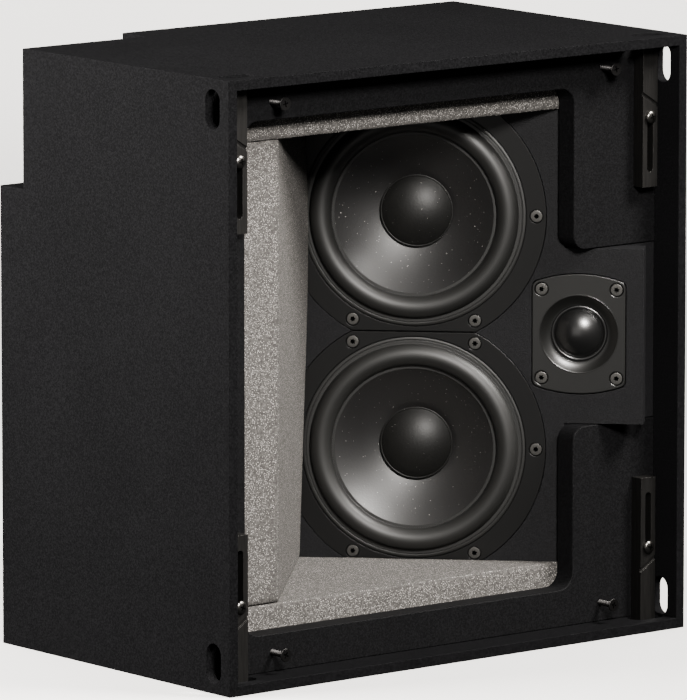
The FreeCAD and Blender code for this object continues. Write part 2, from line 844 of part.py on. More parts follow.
def woofer_voice_coil(name):
    """Former tube with its winding centred in the magnet gap."""
    middle = "motor_depth + top_plate_thickness/2"
    winding_front = f"{middle} - winding_length/2"
    winding_rear = f"{middle} + winding_length/2"
    inner = "former_radius - former_wall"
    return revolve(
        name,
        (inner, "cone_depth - former_stand"),
        ("former_radius", "cone_depth - former_stand"),
        ("former_radius", winding_front),
        ("former_radius + winding_wall", winding_front),
        ("former_radius + winding_wall", winding_rear),
        (inner, winding_rear),
    )


def woofer_spider(name):
    """Waved disc that centres the former, glued to the ledge in the frame."""
    start = "(former_radius + glue_gap)"
    step = f"((spider_ledge_radius - {start})/{2 * SPIDER_WAVES})"
    rear = []
    front = []
    for index in range(2 * SPIDER_WAVES + 1):
        level = "spider_depth - spider_wave" if index % 2 else "spider_depth"
        radius = f"{start} + {index}*{step}"
        rear.append((radius, level))
        front.append((radius, f"{level} - spider_wall"))
    rim = "foot_radius - basket_wall - glue_gap"
    rear.append((rim, "spider_depth"))
    front.append((rim, "spider_depth - spider_wall"))
    return revolve(name, *front, *reversed(rear))


def ring(name, inner, outer, front, rear):
    """Plain turned ring."""
    return revolve(name, *rectangle(inner, front, outer, rear))


def woofer_motor(name):
    """Top plate, ring magnet and yoke behind the frame."""
    magnet_front = "motor_depth + top_plate_thickness"
    magnet_rear = f"{magnet_front} + magnet_thickness"
    yoke_rear = f"{magnet_rear} + yoke_thickness"
    yoke = revolve(
        f"{name}_yoke",
        ("vent_radius", "motor_depth"),
        ("pole_radius", "motor_depth"),
        ("pole_radius", magnet_rear),
        ("yoke_radius", magnet_rear),
        ("yoke_radius", yoke_rear),
        ("vent_radius", yoke_rear),
    )
    return (
        ring(f"{name}_top_plate", "gap_radius", "top_plate_radius", "motor_depth", magnet_front),
        ring(f"{name}_magnet", "magnet_hole_radius", "magnet_radius", magnet_front, magnet_rear),
        yoke,
    )


for side, level in WOOFER_LEVELS.items():
    name = f"{side}_woofer"
    pieces = [
        woofer_basket(f"{name}_basket"),
        woofer_surround(f"{name}_surround"),
        woofer_cone(f"{name}_cone"),
        woofer_dust_cap(f"{name}_dust_cap"),
        woofer_voice_coil(f"{name}_voice_coil"),
        woofer_spider(f"{name}_spider"),
        *woofer_motor(name),
        screw_set(
            f"{name}_screws", woofer_screw_places, "counterbore_depth - woofer_screw_head_height",
            "woofer_screw_head", "woofer_screw_head_height", "woofer_screw_shank", "woofer_screw_length",
            ("woofer_socket_radius", "woofer_socket_depth"),
        ),
    ]
    for piece in pieces:
        on_baffle(piece, "-woofer_offset", level)

# Tweeter

def tweeter_faceplate(name):
    """Flush plate with a shallow waveguide round the dome."""
    body = new_body(name)
    pad(body, "XZ_Plane", "0", "faceplate_thickness", *faceplate_outline("0", "0", "0"))
    sketch = new_sketch(body, "XY_Plane")
    outline(
        sketch,
        (
            ("0", "0"),
            ("waveguide_radius", "0", "-waveguide_curve"),
            ("dome_ring_radius", "waveguide_depth"),
            ("dome_ring_radius", "faceplate_thickness"),
            ("0", "faceplate_thickness"),
        ),
    )
    groove = body.newObject("PartDesign::Groove", f"{name}_groove")
    groove.Profile = sketch
    groove.ReferenceAxis = (sketch, ["V_Axis"])
    groove.Angle = 360
    holes(body, "XZ_Plane", tweeter_screw_places, "tweeter_screw_shank + screw_gap")
    holes(
        body, "XZ_Plane", tweeter_screw_places, "tweeter_screw_head + screw_gap",
        depth="tweeter_screw_recess",
    )
    return body


def tweeter_dome(name):
    """Dome, roll and clamped rim pressed from one sheet."""
    lip_rear = "faceplate_thickness + dome_lip"
    lip_front = f"{lip_rear} - dome_wall"
    roll_middle = "(dome_radius + dome_roll_radius)/2"
    half = "((dome_roll_radius - dome_radius)/2)"
    roll_arc = f"(({half}^2 + dome_roll_height^2)/(2*dome_roll_height))"
    dome_arc = "((dome_radius^2 + dome_height^2)/(2*dome_height))"
    return revolve(
        name,
        ("0", f"{lip_front} - dome_height", dome_arc),
        ("dome_radius", lip_front, roll_arc),
        (roll_middle, f"{lip_front} - dome_roll_height", roll_arc),
        ("dome_roll_radius", lip_front),
        ("tweeter_motor_radius", lip_front),
        ("tweeter_motor_radius", lip_rear),
        ("dome_roll_radius", lip_rear, f"-{roll_arc}"),
        (roll_middle, f"{lip_rear} - dome_roll_height", f"-{roll_arc}"),
        ("dome_radius", lip_rear, f"-{dome_arc}"),
        ("0", f"{lip_rear} - dome_height"),
    )


def tweeter_motor(name):
    """Coil, top plate, ring magnet and yoke behind the dome."""
    front = "faceplate_thickness + dome_lip"
    coil_inner = "dome_radius - tweeter_coil_wall"
    plate_rear = f"{front} + tweeter_plate_thickness"
    magnet_rear = f"{plate_rear} + tweeter_magnet_thickness"
    yoke_rear = f"{magnet_rear} + tweeter_yoke_thickness"
    plate_hole = "dome_radius + tweeter_gap"
    pole = f"{coil_inner} - tweeter_gap"
    yoke = revolve(
        f"{name}_yoke",
        ("0", front),
        (pole, front),
        (pole, magnet_rear),
        ("tweeter_motor_radius", magnet_rear),
        ("tweeter_motor_radius", yoke_rear),
        ("0", yoke_rear),
    )
    magnet_hole = f"{plate_hole} + tweeter_magnet_gap"
    coil_rear = f"{front} + tweeter_coil_length"
    return (
        ring(f"{name}_voice_coil", coil_inner, "dome_radius", front, coil_rear),
        ring(f"{name}_top_plate", plate_hole, "tweeter_motor_radius", front, plate_rear),
        ring(f"{name}_magnet", magnet_hole, "tweeter_motor_radius", plate_rear, magnet_rear),
        yoke,
    )


tweeter_pieces = [
    tweeter_faceplate("tweeter_faceplate"),
    tweeter_dome("tweeter_dome"),
    *tweeter_motor("tweeter"),
    screw_set(
        "tweeter_screws", tweeter_screw_places, "tweeter_screw_recess - tweeter_screw_head_height",
        "tweeter_screw_head", "tweeter_screw_head_height", "tweeter_screw_shank", "tweeter_screw_length",
        ("tweeter_socket_radius", "tweeter_socket_depth"),
    ),
]
for piece in tweeter_pieces:
    on_baffle(piece, "-tweeter_offset", DRIVER_LEVEL)

# Clamp bars that slide out through the slots in the top and bottom walls
BAR_FRONT = f"({PANEL_FRONT} - bar_panel_gap - bar_thickness)"


def clamp_bar(name, x, upper):
    """Slotted steel bar held to the panel by one screw, with a groove filed across its face."""
    def level(inset):
        return f"cabinet_height - ({inset})" if upper else inset

    body = new_body(name)
    left = f"{x} - bar_width/2"
    right = f"{x} + bar_width/2"
    ends = (level("bar_end_inset"), level("bar_end_inset + bar_length"))
    low, high = reversed(ends) if upper else ends
    pad(body, "XZ_Plane", BAR_FRONT, "bar_thickness", *rectangle(left, low, right, high))
    far = level("bar_screw_inset + bar_travel + bar_stop_gap")
    extrude(
        "Pocket", body, "XZ_Plane", "0", None,
        lambda sketch: obround(sketch, (x, level("bar_screw_inset")), (x, far), "bar_slot_width"),
    )
    groove = (
        (left, level("bar_groove_inset")),
        (right, level("bar_groove_inset + bar_groove_rise")),
        (right, level("bar_groove_inset + bar_groove_rise + bar_groove_width")),
        (left, level("bar_groove_inset + bar_groove_width")),
    )
    extrude(
        "Pocket", body, "XZ_Plane", BAR_FRONT, "bar_groove_depth",
        lambda sketch: outline(sketch, groove),
    )


for vertical in ("upper", "lower"):
    for side, x in (("left", f"{LEFT} + slot_inset"), ("right", f"{RIGHT} - slot_inset")):
        clamp_bar(f"{vertical}_{side}_clamp_bar", x, vertical == "upper")

clamp_head_front = f"{BAR_FRONT} - bar_panel_gap - clamp_screw_head_height"
screw_set(
    "clamp_bar_screws", clamp_places, clamp_head_front,
    "clamp_screw_head", "clamp_screw_head_height", "clamp_screw_shank",
    "2*bar_panel_gap + bar_thickness + clamp_screw_bite",
)
screw_set(
    "spare_clamp_screws", spare_places, f"{PANEL_FRONT} - spare_screw_stand - clamp_screw_head_height",
    "clamp_screw_head", "clamp_screw_head_height", "clamp_screw_shank",
    "spare_screw_stand + clamp_screw_bite",
)

# Terminals on the recessed board
terminal_x = f"({LEFT} + wall_thickness/2 + recess_width/2)"
terminal_z = "(cabinet_height - wall_thickness/2 - recess_height/2)"
terminal_places = {
    "positive_terminal": f"{terminal_x} - terminal_spacing/2",
    "negative_terminal": f"{terminal_x} + terminal_spacing/2",
}
stud_places = [(x, terminal_z) for x in terminal_places.values()]
plate = new_body("terminal_plate")
pad(
    plate, "XZ_Plane", RECESS_REAR, "terminal_plate_thickness",
    *rectangle(
        f"{terminal_x} - terminal_plate_width/2",
        f"{terminal_z} - terminal_plate_height/2",
        f"{terminal_x} + terminal_plate_width/2",
        f"{terminal_z} + terminal_plate_height/2",
    ),
)
plate_screws = [
    (
        f"{terminal_x} + {across}*(terminal_plate_width/2 - terminal_screw_edge)",
        f"{terminal_z} + {up}*(terminal_plate_height/2 - terminal_screw_edge)",
    )
    for across in (-1, 1) for up in (-1, 1)
]
for board in (plate, recess_back):
    holes(board, "XZ_Plane", stud_places, "terminal_stud + screw_gap")
    holes(board, "XZ_Plane", plate_screws, "terminal_screw_shank + screw_gap")

for name, x in terminal_places.items():
    collar_rear = "terminal_plate_thickness + terminal_collar_height"
    knob_rear = f"{collar_rear} + terminal_knob_height"
    post = revolve(
        name,
        ("0", "-terminal_stud_length"),
        ("terminal_stud", "-terminal_stud_length"),
        ("terminal_stud", "terminal_plate_thickness"),
        ("terminal_collar", "terminal_plate_thickness"),
        ("terminal_collar", collar_rear),
        ("terminal_knob", collar_rear),
        ("terminal_knob", knob_rear),
        ("terminal_bore", knob_rear),
        ("terminal_bore", f"{knob_rear} - terminal_bore_depth"),
        ("0", f"{knob_rear} - terminal_bore_depth"),
    )
    bind(post, Placement__Base__x=x, Placement__Base__y=RECESS_REAR, Placement__Base__z=terminal_z)

# These screws point into the board, so their shanks come first and their heads stand at the rear
terminal_screws = new_body("terminal_plate_screws")
shank_start = f"{RECESS_REAR} + terminal_plate_thickness - terminal_screw_length"
head_start = f"{RECESS_REAR} + terminal_plate_thickness"
for start, radius, length in (
    (shank_start, "terminal_screw_shank", "terminal_screw_length"),
    (head_start, "terminal_screw_head", "terminal_screw_head_height"),
):
    def draw_plate_screws(sketch):
        for x, z in plate_screws:
            circle(sketch, x, z, radius)
    extrude("Pad", terminal_screws, "XZ_Plane", start, length, draw_plate_screws)

# Crossover on stand-offs behind the sound well
board_left = f"({LEFT} + crossover_inset)"
board_right = f"({board_left} + crossover_width)"
board_top = "(crossover_rise + crossover_height)"
board_rear = f"({BACK_INNER} - standoff_height)"
board_front = f"({board_rear} - crossover_board)"
board = new_body("crossover_board")
pad(
    board, "XZ_Plane", board_front, "crossover_board",
    *rectangle(board_left, "crossover_rise", board_right, board_top),
)
standoff_places = [
    (x, z)
    for x in (f"{board_left} + standoff_edge", f"{board_right} - standoff_edge")
    for z in ("crossover_rise + standoff_edge", f"{board_top} - standoff_edge")
]
board_middle = f"({board_left} + crossover_width/2)"
coil_level = "(crossover_rise + crossover_height - coil_outer_radius - coil_edge)"
coil_places = [(f"{board_middle} + {side}*coil_spacing/2", coil_level) for side in (-1, 1)]


def pad_circles(name, places, radius, start, length):
    """Upright cylinders in one node."""
    body = new_body(name)

    def draw(sketch):
        for x, z in places:
            circle(sketch, x, z, radius)
    extrude("Pad", body, "XZ_Plane", start, length, draw)
    return body


pad_circles("crossover_standoffs", standoff_places, "standoff_radius", board_rear, "standoff_height")
coils = pad_circles(
    "crossover_coils", coil_places, "coil_outer_radius", f"{board_front} - coil_height", "coil_height",
)
holes(coils, "XZ_Plane", coil_places, "coil_inner_radius")

capacitors = new_body("crossover_capacitors")


def draw_capacitors(sketch):
    for index in range(CAPACITORS):
        x = f"{board_middle} + {index - (CAPACITORS - 1) / 2}*capacitor_spacing"
        circle(sketch, x, f"{board_front} - capacitor_radius - glue_gap", "capacitor_radius")


extrude(
    "Pad", capacitors, "XY_Plane", "crossover_rise + capacitor_edge", "capacitor_length", draw_capacitors,
)

# Everything has to be whole before a file is written
doc.recompute()
for item in doc.Objects:
    if "Invalid" in item.State or "Error" in item.State:
        raise RuntimeError(f"{item.Label} did not build: {item.State}")
for node in nodes:
    if node.Shape.isNull() or not node.Shape.isValid() or not node.Shape.Solids:
        raise RuntimeError(f"{node.Label} has no sound shape")

os.makedirs("parts", exist_ok=True)
for node in nodes:
    node.Shape.exportStep(f"parts/{node.Label}.step")
print(f"{len(nodes)} nodes written")
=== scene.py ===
"""Dresses the ceiling speaker: a painted box, a foam-lined sound well, two woofers and a dome tweeter."""
import json
import math

import bmesh
import bpy
from bpy.props import FloatProperty, FloatVectorProperty, IntProperty, PointerProperty
from mathutils import Matrix, Vector
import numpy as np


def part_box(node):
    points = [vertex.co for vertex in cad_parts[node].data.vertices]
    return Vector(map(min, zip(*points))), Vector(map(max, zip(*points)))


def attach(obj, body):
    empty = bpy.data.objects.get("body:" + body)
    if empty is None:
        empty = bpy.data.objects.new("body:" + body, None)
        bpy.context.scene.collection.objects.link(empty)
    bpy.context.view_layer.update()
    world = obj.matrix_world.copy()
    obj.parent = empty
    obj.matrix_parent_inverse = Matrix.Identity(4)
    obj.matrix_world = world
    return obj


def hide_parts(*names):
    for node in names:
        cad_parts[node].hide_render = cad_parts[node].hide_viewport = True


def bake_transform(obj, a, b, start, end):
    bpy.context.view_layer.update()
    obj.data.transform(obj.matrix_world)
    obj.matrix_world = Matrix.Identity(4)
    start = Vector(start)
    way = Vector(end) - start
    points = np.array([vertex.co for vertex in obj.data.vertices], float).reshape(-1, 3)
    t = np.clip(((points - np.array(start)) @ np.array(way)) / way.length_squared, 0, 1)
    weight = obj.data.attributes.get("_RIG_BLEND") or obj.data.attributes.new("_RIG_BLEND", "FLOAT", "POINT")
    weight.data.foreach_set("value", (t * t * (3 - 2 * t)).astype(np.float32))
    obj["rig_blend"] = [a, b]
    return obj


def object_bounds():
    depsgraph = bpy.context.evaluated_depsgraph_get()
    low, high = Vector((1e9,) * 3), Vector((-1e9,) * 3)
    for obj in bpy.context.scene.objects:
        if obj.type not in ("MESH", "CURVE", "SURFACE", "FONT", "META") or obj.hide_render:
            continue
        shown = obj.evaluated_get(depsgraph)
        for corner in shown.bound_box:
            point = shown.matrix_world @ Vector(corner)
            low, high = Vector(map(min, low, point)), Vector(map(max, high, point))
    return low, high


bl_info = {
    "name": "Ceiling speaker",
    "version": (1, 0, 0),
    "blender": (4, 5, 0),
    "location": "3D View > Sidebar > Speaker",
    "description": "Finishes a ceiling speaker over its CAD frame",
    "category": "Object",
}

MM = 0.001
# Cutters run past what they cut by OVERCUT, pieces overlap by LAP, and points within WELD are one
OVERCUT = 5 * MM
LAP = 0.5 * MM
WELD = 0.001 * MM
# Edges that bend by more degrees than these are shaded sharp, on turned pieces and on flat ones
TURNED_SHARP = 40
FLAT_SHARP = 12
UP = Vector((0, 0, 1))
TO_FRONT = Vector((0, -1, 0))
TO_REAR = Vector((0, 1, 0))

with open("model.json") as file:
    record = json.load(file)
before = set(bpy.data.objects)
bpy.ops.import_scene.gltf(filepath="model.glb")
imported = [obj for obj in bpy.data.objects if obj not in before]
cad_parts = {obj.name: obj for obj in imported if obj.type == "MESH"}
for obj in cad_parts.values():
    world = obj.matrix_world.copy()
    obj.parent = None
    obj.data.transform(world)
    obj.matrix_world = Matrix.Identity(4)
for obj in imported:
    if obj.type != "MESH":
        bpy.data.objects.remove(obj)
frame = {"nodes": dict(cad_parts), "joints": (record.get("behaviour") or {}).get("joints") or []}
CAD_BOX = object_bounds()
AXES = {joint["name"]: Vector(joint["axis"]).normalized() for joint in frame["joints"]}
TO_ROOM = AXES["upper_cone_excursion"]
ACROSS = UP.cross(TO_ROOM)
WOOFERS = ("upper_woofer", "lower_woofer")


def linear(colour):
    """Linear red, green and blue of an sRGB hex colour."""
    parts = [int(colour[start:start + 2], 16) / 255 for start in (1, 3, 5)]
    return [part / 12.92 if part <= 0.04045 else ((part + 0.055) / 1.055) ** 2.4 for part in parts]


def length(name, description, millimetres):
    """Property that holds a length in metres."""
    return FloatProperty(name=name, description=description, default=millimetres * MM, unit="LENGTH")


def colour(name, description, shade):
    """Property that holds a colour."""
    return FloatVectorProperty(name=name, description=description, default=linear(shade), subtype="COLOR")


class SpeakerSizes(bpy.types.PropertyGroup):
    """Sizes that the frame doesn't give."""
    board_round: length("Board rounding", "Rounding of the painted edges of the boards", 0.8)
    slot_long: length("Slot length", "Length of a slot in the front lip", 25.8)
    slot_wide: length("Slot width", "Width of a slot in the front lip", 14.6)
    slot_inset: length("Slot inset", "Middle of a slot from the corner of the box", 20)
    slot_setback: length("Slot setback", "Middle of a slot behind the front rim", 16.8)
    opening_margin: length("Opening margin", "Panel left of, above and below the sound opening", 25)
    opening_right: length("Opening right margin", "Panel right of the sound opening", 71)
    opening_round: length("Opening corner", "Radius of the corners of the sound opening", 11)
    notch_round: length("Notch corner", "Radius of the corners beside the tweeter", 10)
    notch_gap: length("Notch gap", "Gap between the panel and the tongue of the baffle", 0.5)
    foam_voxel: length("Foam voxel", "Mesh size of the foam slabs", 2)
    foam_swell: length("Foam swell", "How far the side slab bows into the well", 1)
    foam_pinch: length("Foam pinch", "How far the ends of the side slab are pressed back at the baffle", 5)
    foam_skin: length("Foam skin", "Depth of the side slab that gives way", 20)
    foam_waviness: length("Foam waviness", "Unevenness of the cut foam", 0.5)
    foam_wave: length("Foam wave", "Width of the waves of the cut foam", 28)
    roll_wall: length("Roll wall", "Thickness of the rubber surround", 0.8)
    roll_lip_round: length("Roll lip rounding", "Rounding of the outer lip of the surround", 0.2)
    roll_groove_inset: length("Roll groove inset", "Middle of the groove from the edge of the lip", 2.4)
    roll_groove_depth: length("Roll groove depth", "Depth of the groove in the lip", 0.4)
    roll_groove_wide: length("Roll groove width", "Width of the groove at the face of the lip", 0.7)
    roll_groove_floor: length("Roll groove floor", "Width of the floor of the groove", 0.4)
    cone_bow: length("Cone bow", "How far the cone bows towards the room", 2)
    cone_wall: length("Cone wall", "Thickness of the cone", 0.9)
    cone_neck_wall: length("Cone neck wall", "Thickness of the cone at its neck", 1.26)
    cone_rim: length("Cone rim", "Width of the flat rim under the surround", 2.2)
    cap_bead: length("Glue bead", "Radius of the bead of glue round the dust cap", 0.55)
    plate_round: length("Plate rounding", "Rounding of the edge of the tweeter plate", 0.5)
    plate_recess: length("Plate recess", "Radius of the screw recesses in the tweeter plate", 4.5)
    plate_corner: length("Plate corner", "Radius of the corners of the tweeter plate", 5)
    plate_bow: length("Plate bow", "How far the ends of the tweeter plate bow out", 5.8)
    guide_mouth: length("Waveguide mouth", "Radius of the waveguide at the face of the plate", 25.8)
    guide_throat: length("Waveguide throat", "Radius of the waveguide at the dome", 19.4)
    guide_depth: length("Waveguide depth", "Depth of the waveguide", 2.8)
    dome_radius: length("Dome radius", "Radius of the dome", 16.4)
    dome_roll: length("Dome roll", "Half the width of the roll round the dome", 1.3)
    dome_roll_height: length("Dome roll height", "Height of the roll round the dome", 1.3)
    dome_wall: length("Dome wall", "Thickness of the dome", 0.3)
    dome_lip: length("Dome lip", "Width of the dome's clamped rim that is drawn", 2)
    driver_head: length("Driver screw head", "Radius of the heads of the driver screws", 4.2)
    driver_head_height: length("Driver head height", "Height of the heads of the driver screws", 2.2)
    driver_socket: length("Driver socket", "Radius of the sockets of the driver screws", 1.6)
    clamp_head: length("Clamp screw head", "Radius of the heads of the clamp screws", 4.3)
    clamp_head_height: length("Clamp head height", "Height of the domed heads of the clamp screws", 2.6)
    spare_stand: length("Spare screw length", "How far a spare screw stands out of the panel", 14.6)
    spare_head_height: length("Spare head height", "Height of the flared heads of the spare screws", 3.4)
    post_knob: length("Post knob", "Radius of the knurled knob of a binding post", 6)
    post_knurl: length("Post knurl", "Depth of the knurl of a binding post", 0.3)
    post_knob_height: length("Post knob height", "Height of the knob of a binding post", 11)
    post_bore: length("Post bore", "Radius of the socket in a binding post", 2.05)
    post_collar: length("Post collar", "Radius of the coloured collar of a binding post", 5.5)
    post_collar_height: length("Post collar height", "Height of the coloured collar", 4)
    post_stud: length("Post stud", "Radius of the stud of a binding post", 3)
    thread_pitch: length("Thread pitch", "Pitch of the thread of the spare screws", 1.6)
    screw_seed: IntProperty(name="Screw seed", description="Seed for how the screws are turned", default=4)


class SpeakerColours(bpy.types.PropertyGroup):
    """Colours that the finishes are mixed from."""
    paint: colour("Cabinet paint", "Black texture paint on the boards", "#0f0f10")
    foam: colour("Foam", "Grey polyurethane foam", "#4d4b49")
    frame_coat: colour("Frame coat", "Powder coat of the woofer frames", "#090909")
    rubber: colour("Rubber", "Butyl rubber of the surrounds", "#131312")
    cone: colour("Cone", "Filled polypropylene of the cones", "#0b0a0a")
    cap: colour("Dust cap", "Dust caps of the woofers", "#0c0c0b")
    plate: colour("Tweeter plate", "Satin coat of the tweeter plate", "#0c0c0b")
    dust: colour("Dust", "Specks of dust on the cones", "#acaba6")
    dome: colour("Dome", "Coated silk dome", "#0d0d0d")
    steel: colour("Bar steel", "Blackened steel of the clamp bars", "#3b3a39")
    floor: colour("Floor", "Studio floor", "#dcdbd9")
    lamp: colour("Lamp", "Warm white of the lamps", "#fffbf6")


def sizes():
    """Sizes kept in the scene."""
    return bpy.context.scene.speaker_sizes


def colours():
    """Colours kept in the scene."""
    return bpy.context.scene.speaker_colours


# Places taken from the frame

def points_of(node):
    """Points of a CAD node's mesh."""
    return [vertex.co for vertex in frame["nodes"][node].data.vertices]


def extent(node, direction):
    """Lowest and highest reach of a CAD node along a direction."""
    reach = [point.dot(direction) for point in points_of(node)]
    return min(reach), max(reach)


def half_span(node, direction):
    """Half the size of a CAD node along a direction."""
    low, high = extent(node, direction)
    return (high - low) / 2


def turned_to(out, origin):
    """Matrix from a face's own axes (across, up and out of it) to the frame."""
    matrix = Matrix((UP.cross(out), UP, out)).transposed().to_4x4()
    matrix.translation = origin
    return matrix


def front_of(node, out):
    """Matrix with its origin in the middle of a node's face that looks along a direction."""
    across = UP.cross(out)
    origin = across * sum(extent(node, across)) / 2
    origin += UP * sum(extent(node, UP)) / 2
    origin += out * extent(node, out)[1]
    return turned_to(out, origin)


def depths(node, out, place):
    """Rear and front of a node, measured out of a face."""
    level = place.translation.dot(out)
    return [reach - level for reach in extent(node, out)]


def solid_middles(node):
    """Middle of each loose solid of a node."""
    shape = bmesh.new()
    shape.from_mesh(frame["nodes"][node].data)
    bmesh.ops.remove_doubles(shape, verts=shape.verts, dist=WELD)
    middles = []
    left = set(shape.verts)
    while left:
        ring = [left.pop()]
        solid = list(ring)
        while ring:
            vertex = ring.pop()
            near = {edge.other_vert(vertex) for edge in vertex.link_edges} & left
            left -= near
            ring.extend(near)
            solid.extend(near)
        low = Vector(min(vertex.co[axis] for vertex in solid) for axis in range(3))
        high = Vector(max(vertex.co[axis] for vertex in solid) for axis in range(3))
        middles.append((low + high) / 2)
    shape.free()
    return sorted(middles, key=tuple)


# Outlines and meshes

def turns(steps):
    """Angles at equal steps round a circle."""
    return [math.tau * step / steps for step in range(steps)]


def circle(radius, steps=96):
    """Round outline."""
    return [(radius * math.cos(turn), radius * math.sin(turn)) for turn in turns(steps)]


def arc(middle, reach, start, sweep, steps):
    """Part of an ellipse about its middle, with its reach across and up."""
    angles = [start + sweep * step / steps for step in range(steps + 1)]
    return [
        (middle[0] + reach[0] * math.cos(turn), middle[1] + reach[1] * math.sin(turn)) for turn in angles
    ]


def obround(long, wide, steps=16):
    """Slot with round ends, its length along y."""
    end = (long - wide) / 2
    reach = (wide / 2, wide / 2)
    return [
        *arc((0, end), reach, 0, math.pi, steps),
        *arc((0, -end), reach, math.pi, math.pi, steps),
    ]


def rounded(corners, steps=6):
    """Closed outline; a corner is (x, y), or (x, y, radius) where it is rounded."""
    loop = []
    for index, corner in enumerate(corners):
        here = Vector(corner[:2])
        if len(corner) == 2:
            loop.append(here)
            continue
        back = (Vector(corners[index - 1][:2]) - here).normalized()
        ahead = (Vector(corners[(index + 1) % len(corners)][:2]) - here).normalized()
        half = back.angle(ahead) / 2
        reach = corner[2] / math.tan(half)
        middle = here + (back + ahead).normalized() * corner[2] / math.sin(half)
        start = here + back * reach - middle
        sweep = start.angle_signed(here + ahead * reach - middle)
        for step in range(steps + 1):
            loop.append(middle + Matrix.Rotation(-sweep * step / steps, 2) @ start)
    return loop


def bowed(start, end, bow, steps=24):
    """Arc between two points whose middle stands left of the straight line by bow."""
    start, end = Vector(start), Vector(end)
    half = (end - start) / 2
    radius = (half.length_squared + bow * bow) / (2 * abs(bow))
    left = Vector((-half.y, half.x)).normalized()
    centre = start + half + left * (bow - math.copysign(radius, bow))
    sweep = -math.copysign(2 * math.asin(half.length / radius), bow)
    spoke = start - centre
    return [centre + Matrix.Rotation(sweep * step / steps, 2) @ spoke for step in range(steps + 1)]


def to_mesh(name, shape, sharp=TURNED_SHARP):
    """Mesh from a bmesh, facing outwards and shaded smooth between its sharp edges."""
    bmesh.ops.remove_doubles(shape, verts=shape.verts, dist=WELD / 2)
    bmesh.ops.recalc_face_normals(shape, faces=shape.faces)
    mesh = bpy.data.meshes.new(name)
    shape.to_mesh(mesh)
    shape.free()
    mesh.shade_smooth()
    mesh.set_sharp_from_angle(angle=math.radians(sharp))
    return mesh


def lathe(name, profile, steps=144, sharp=TURNED_SHARP):
    """Closed profile of (radius, height) points turned about z."""
    shape = bmesh.new()
    rings = []
    for radius, height in profile:
        if radius > 0:
            ring = [shape.verts.new((x, y, height)) for x, y in circle(radius, steps)]
        else:
            ring = [shape.verts.new((0, 0, height))] * steps
        rings.append(ring)
    for index, ring in enumerate(rings):
        last = rings[index - 1]
        for step in range(steps):
            corners = dict.fromkeys((last[step - 1], last[step], ring[step], ring[step - 1]))
            if len(corners) > 2:
                shape.faces.new(corners)
    return to_mesh(name, shape, sharp)


def inward_normals(loop):
    """Mitred normals that point left of an outline's direction."""
    least_cosine = 0.3
    normals = []
    for index, point in enumerate(loop):
        last = (point - loop[index - 1]).normalized()
        following = (loop[(index + 1) % len(loop)] - point).normalized()
        middle = (last.orthogonal() + following.orthogonal()).normalized()
        normals.append(middle / max(middle.dot(following.orthogonal()), least_cosine))
    return normals


def plate(name, outlines, thickness, edge=0.0, steps=3):
    """Plate with rounded edges from its outline and its holes, its front face at z = 0."""
    shape = bmesh.new()
    front, rear = [], []
    quarter = [math.pi / 2 * step / steps for step in range(steps + 1)] if edge else [0.0]
    profile = [(edge * (1 - math.sin(turn)), -edge * (1 - math.cos(turn))) for turn in quarter]
    profile += [(inset, -thickness - height) for inset, height in reversed(profile)]
    for index, outline in enumerate(outlines):
        loop = [Vector(point) for point in outline]
        area = sum(loop[step - 1].cross(loop[step]) for step in range(len(loop)))
        if (area > 0) != (index == 0):
            loop.reverse()
        normals = inward_normals(loop)
        rings = []
        for inset, height in profile:
            places = [point + normal * inset for point, normal in zip(loop, normals)]
            rings.append([shape.verts.new((*place, height)) for place in places])
        for near, far in zip(rings, rings[1:]):
            for step in range(len(loop)):
                shape.faces.new((near[step - 1], near[step], far[step], far[step - 1]))
        front += [shape.edges.get((rings[0][step - 1], rings[0][step])) for step in range(len(loop))]
        rear += [shape.edges.get((rings[-1][step - 1], rings[-1][step])) for step in range(len(loop))]
    for edges in (front, rear):
        bmesh.ops.triangle_fill(shape, use_beauty=True, edges=edges)
    return to_mesh(name, shape, FLAT_SHARP)


def block(name, low, high):
    """Box between two corners."""
    shape = bmesh.new()
    bmesh.ops.create_cube(shape, size=1)
    middle = (Vector(low) + Vector(high)) / 2
    span = Vector(high) - Vector(low)
    bmesh.ops.transform(shape, matrix=Matrix.LocRotScale(middle, None, span), verts=shape.verts)
    return to_mesh(name, shape)


def joined(name, meshes, sharp=TURNED_SHARP):
    """One mesh from several."""
    shape = bmesh.new()
    for mesh in meshes:
        shape.from_mesh(mesh)
    return to_mesh(name, shape, sharp)


def placed(mesh, matrix):
    """Mesh moved by a matrix."""
    mesh.transform(matrix)
    return mesh


def shown(name, mesh):
    """Object for a mesh, linked to the scene."""
    item = bpy.data.objects.new(name, mesh)
    bpy.context.scene.collection.objects.link(item)
    return item


def baked(item):
    """Plain mesh of an object with its modifiers applied; the object is removed."""
    depsgraph = bpy.context.evaluated_depsgraph_get()
    mesh = bpy.data.meshes.new_from_object(item.evaluated_get(depsgraph), depsgraph=depsgraph)
    bpy.data.objects.remove(item)
    return mesh


def carved(mesh, cutters):
    """Mesh with other meshes cut out of it."""
    item = shown(mesh.name, mesh)
    tools = []
    for cutter in cutters:
        tools.append(shown(cutter.name, cutter))
        cut = item.modifiers.new("Cut", "BOOLEAN")
        cut.solver = "EXACT"
        cut.object = tools[-1]
    result = baked(item)
    for tool in tools:
        bpy.data.objects.remove(tool)
    return result


def merged_copy(node):
    """Copy of a CAD node's mesh with its loose triangles merged."""
    shape = bmesh.new()
    shape.from_mesh(frame["nodes"][node].data)
    bmesh.ops.remove_doubles(shape, verts=shape.verts, dist=WELD)
    mesh = bpy.data.meshes.new(node)
    shape.to_mesh(mesh)
    shape.free()
    mesh.materials.clear()
    return mesh


def finish_node(node, finish):
    """Show a CAD node as it is, in a finish."""
    materials = frame["nodes"][node].data.materials
    materials.clear()
    materials.append(finish)


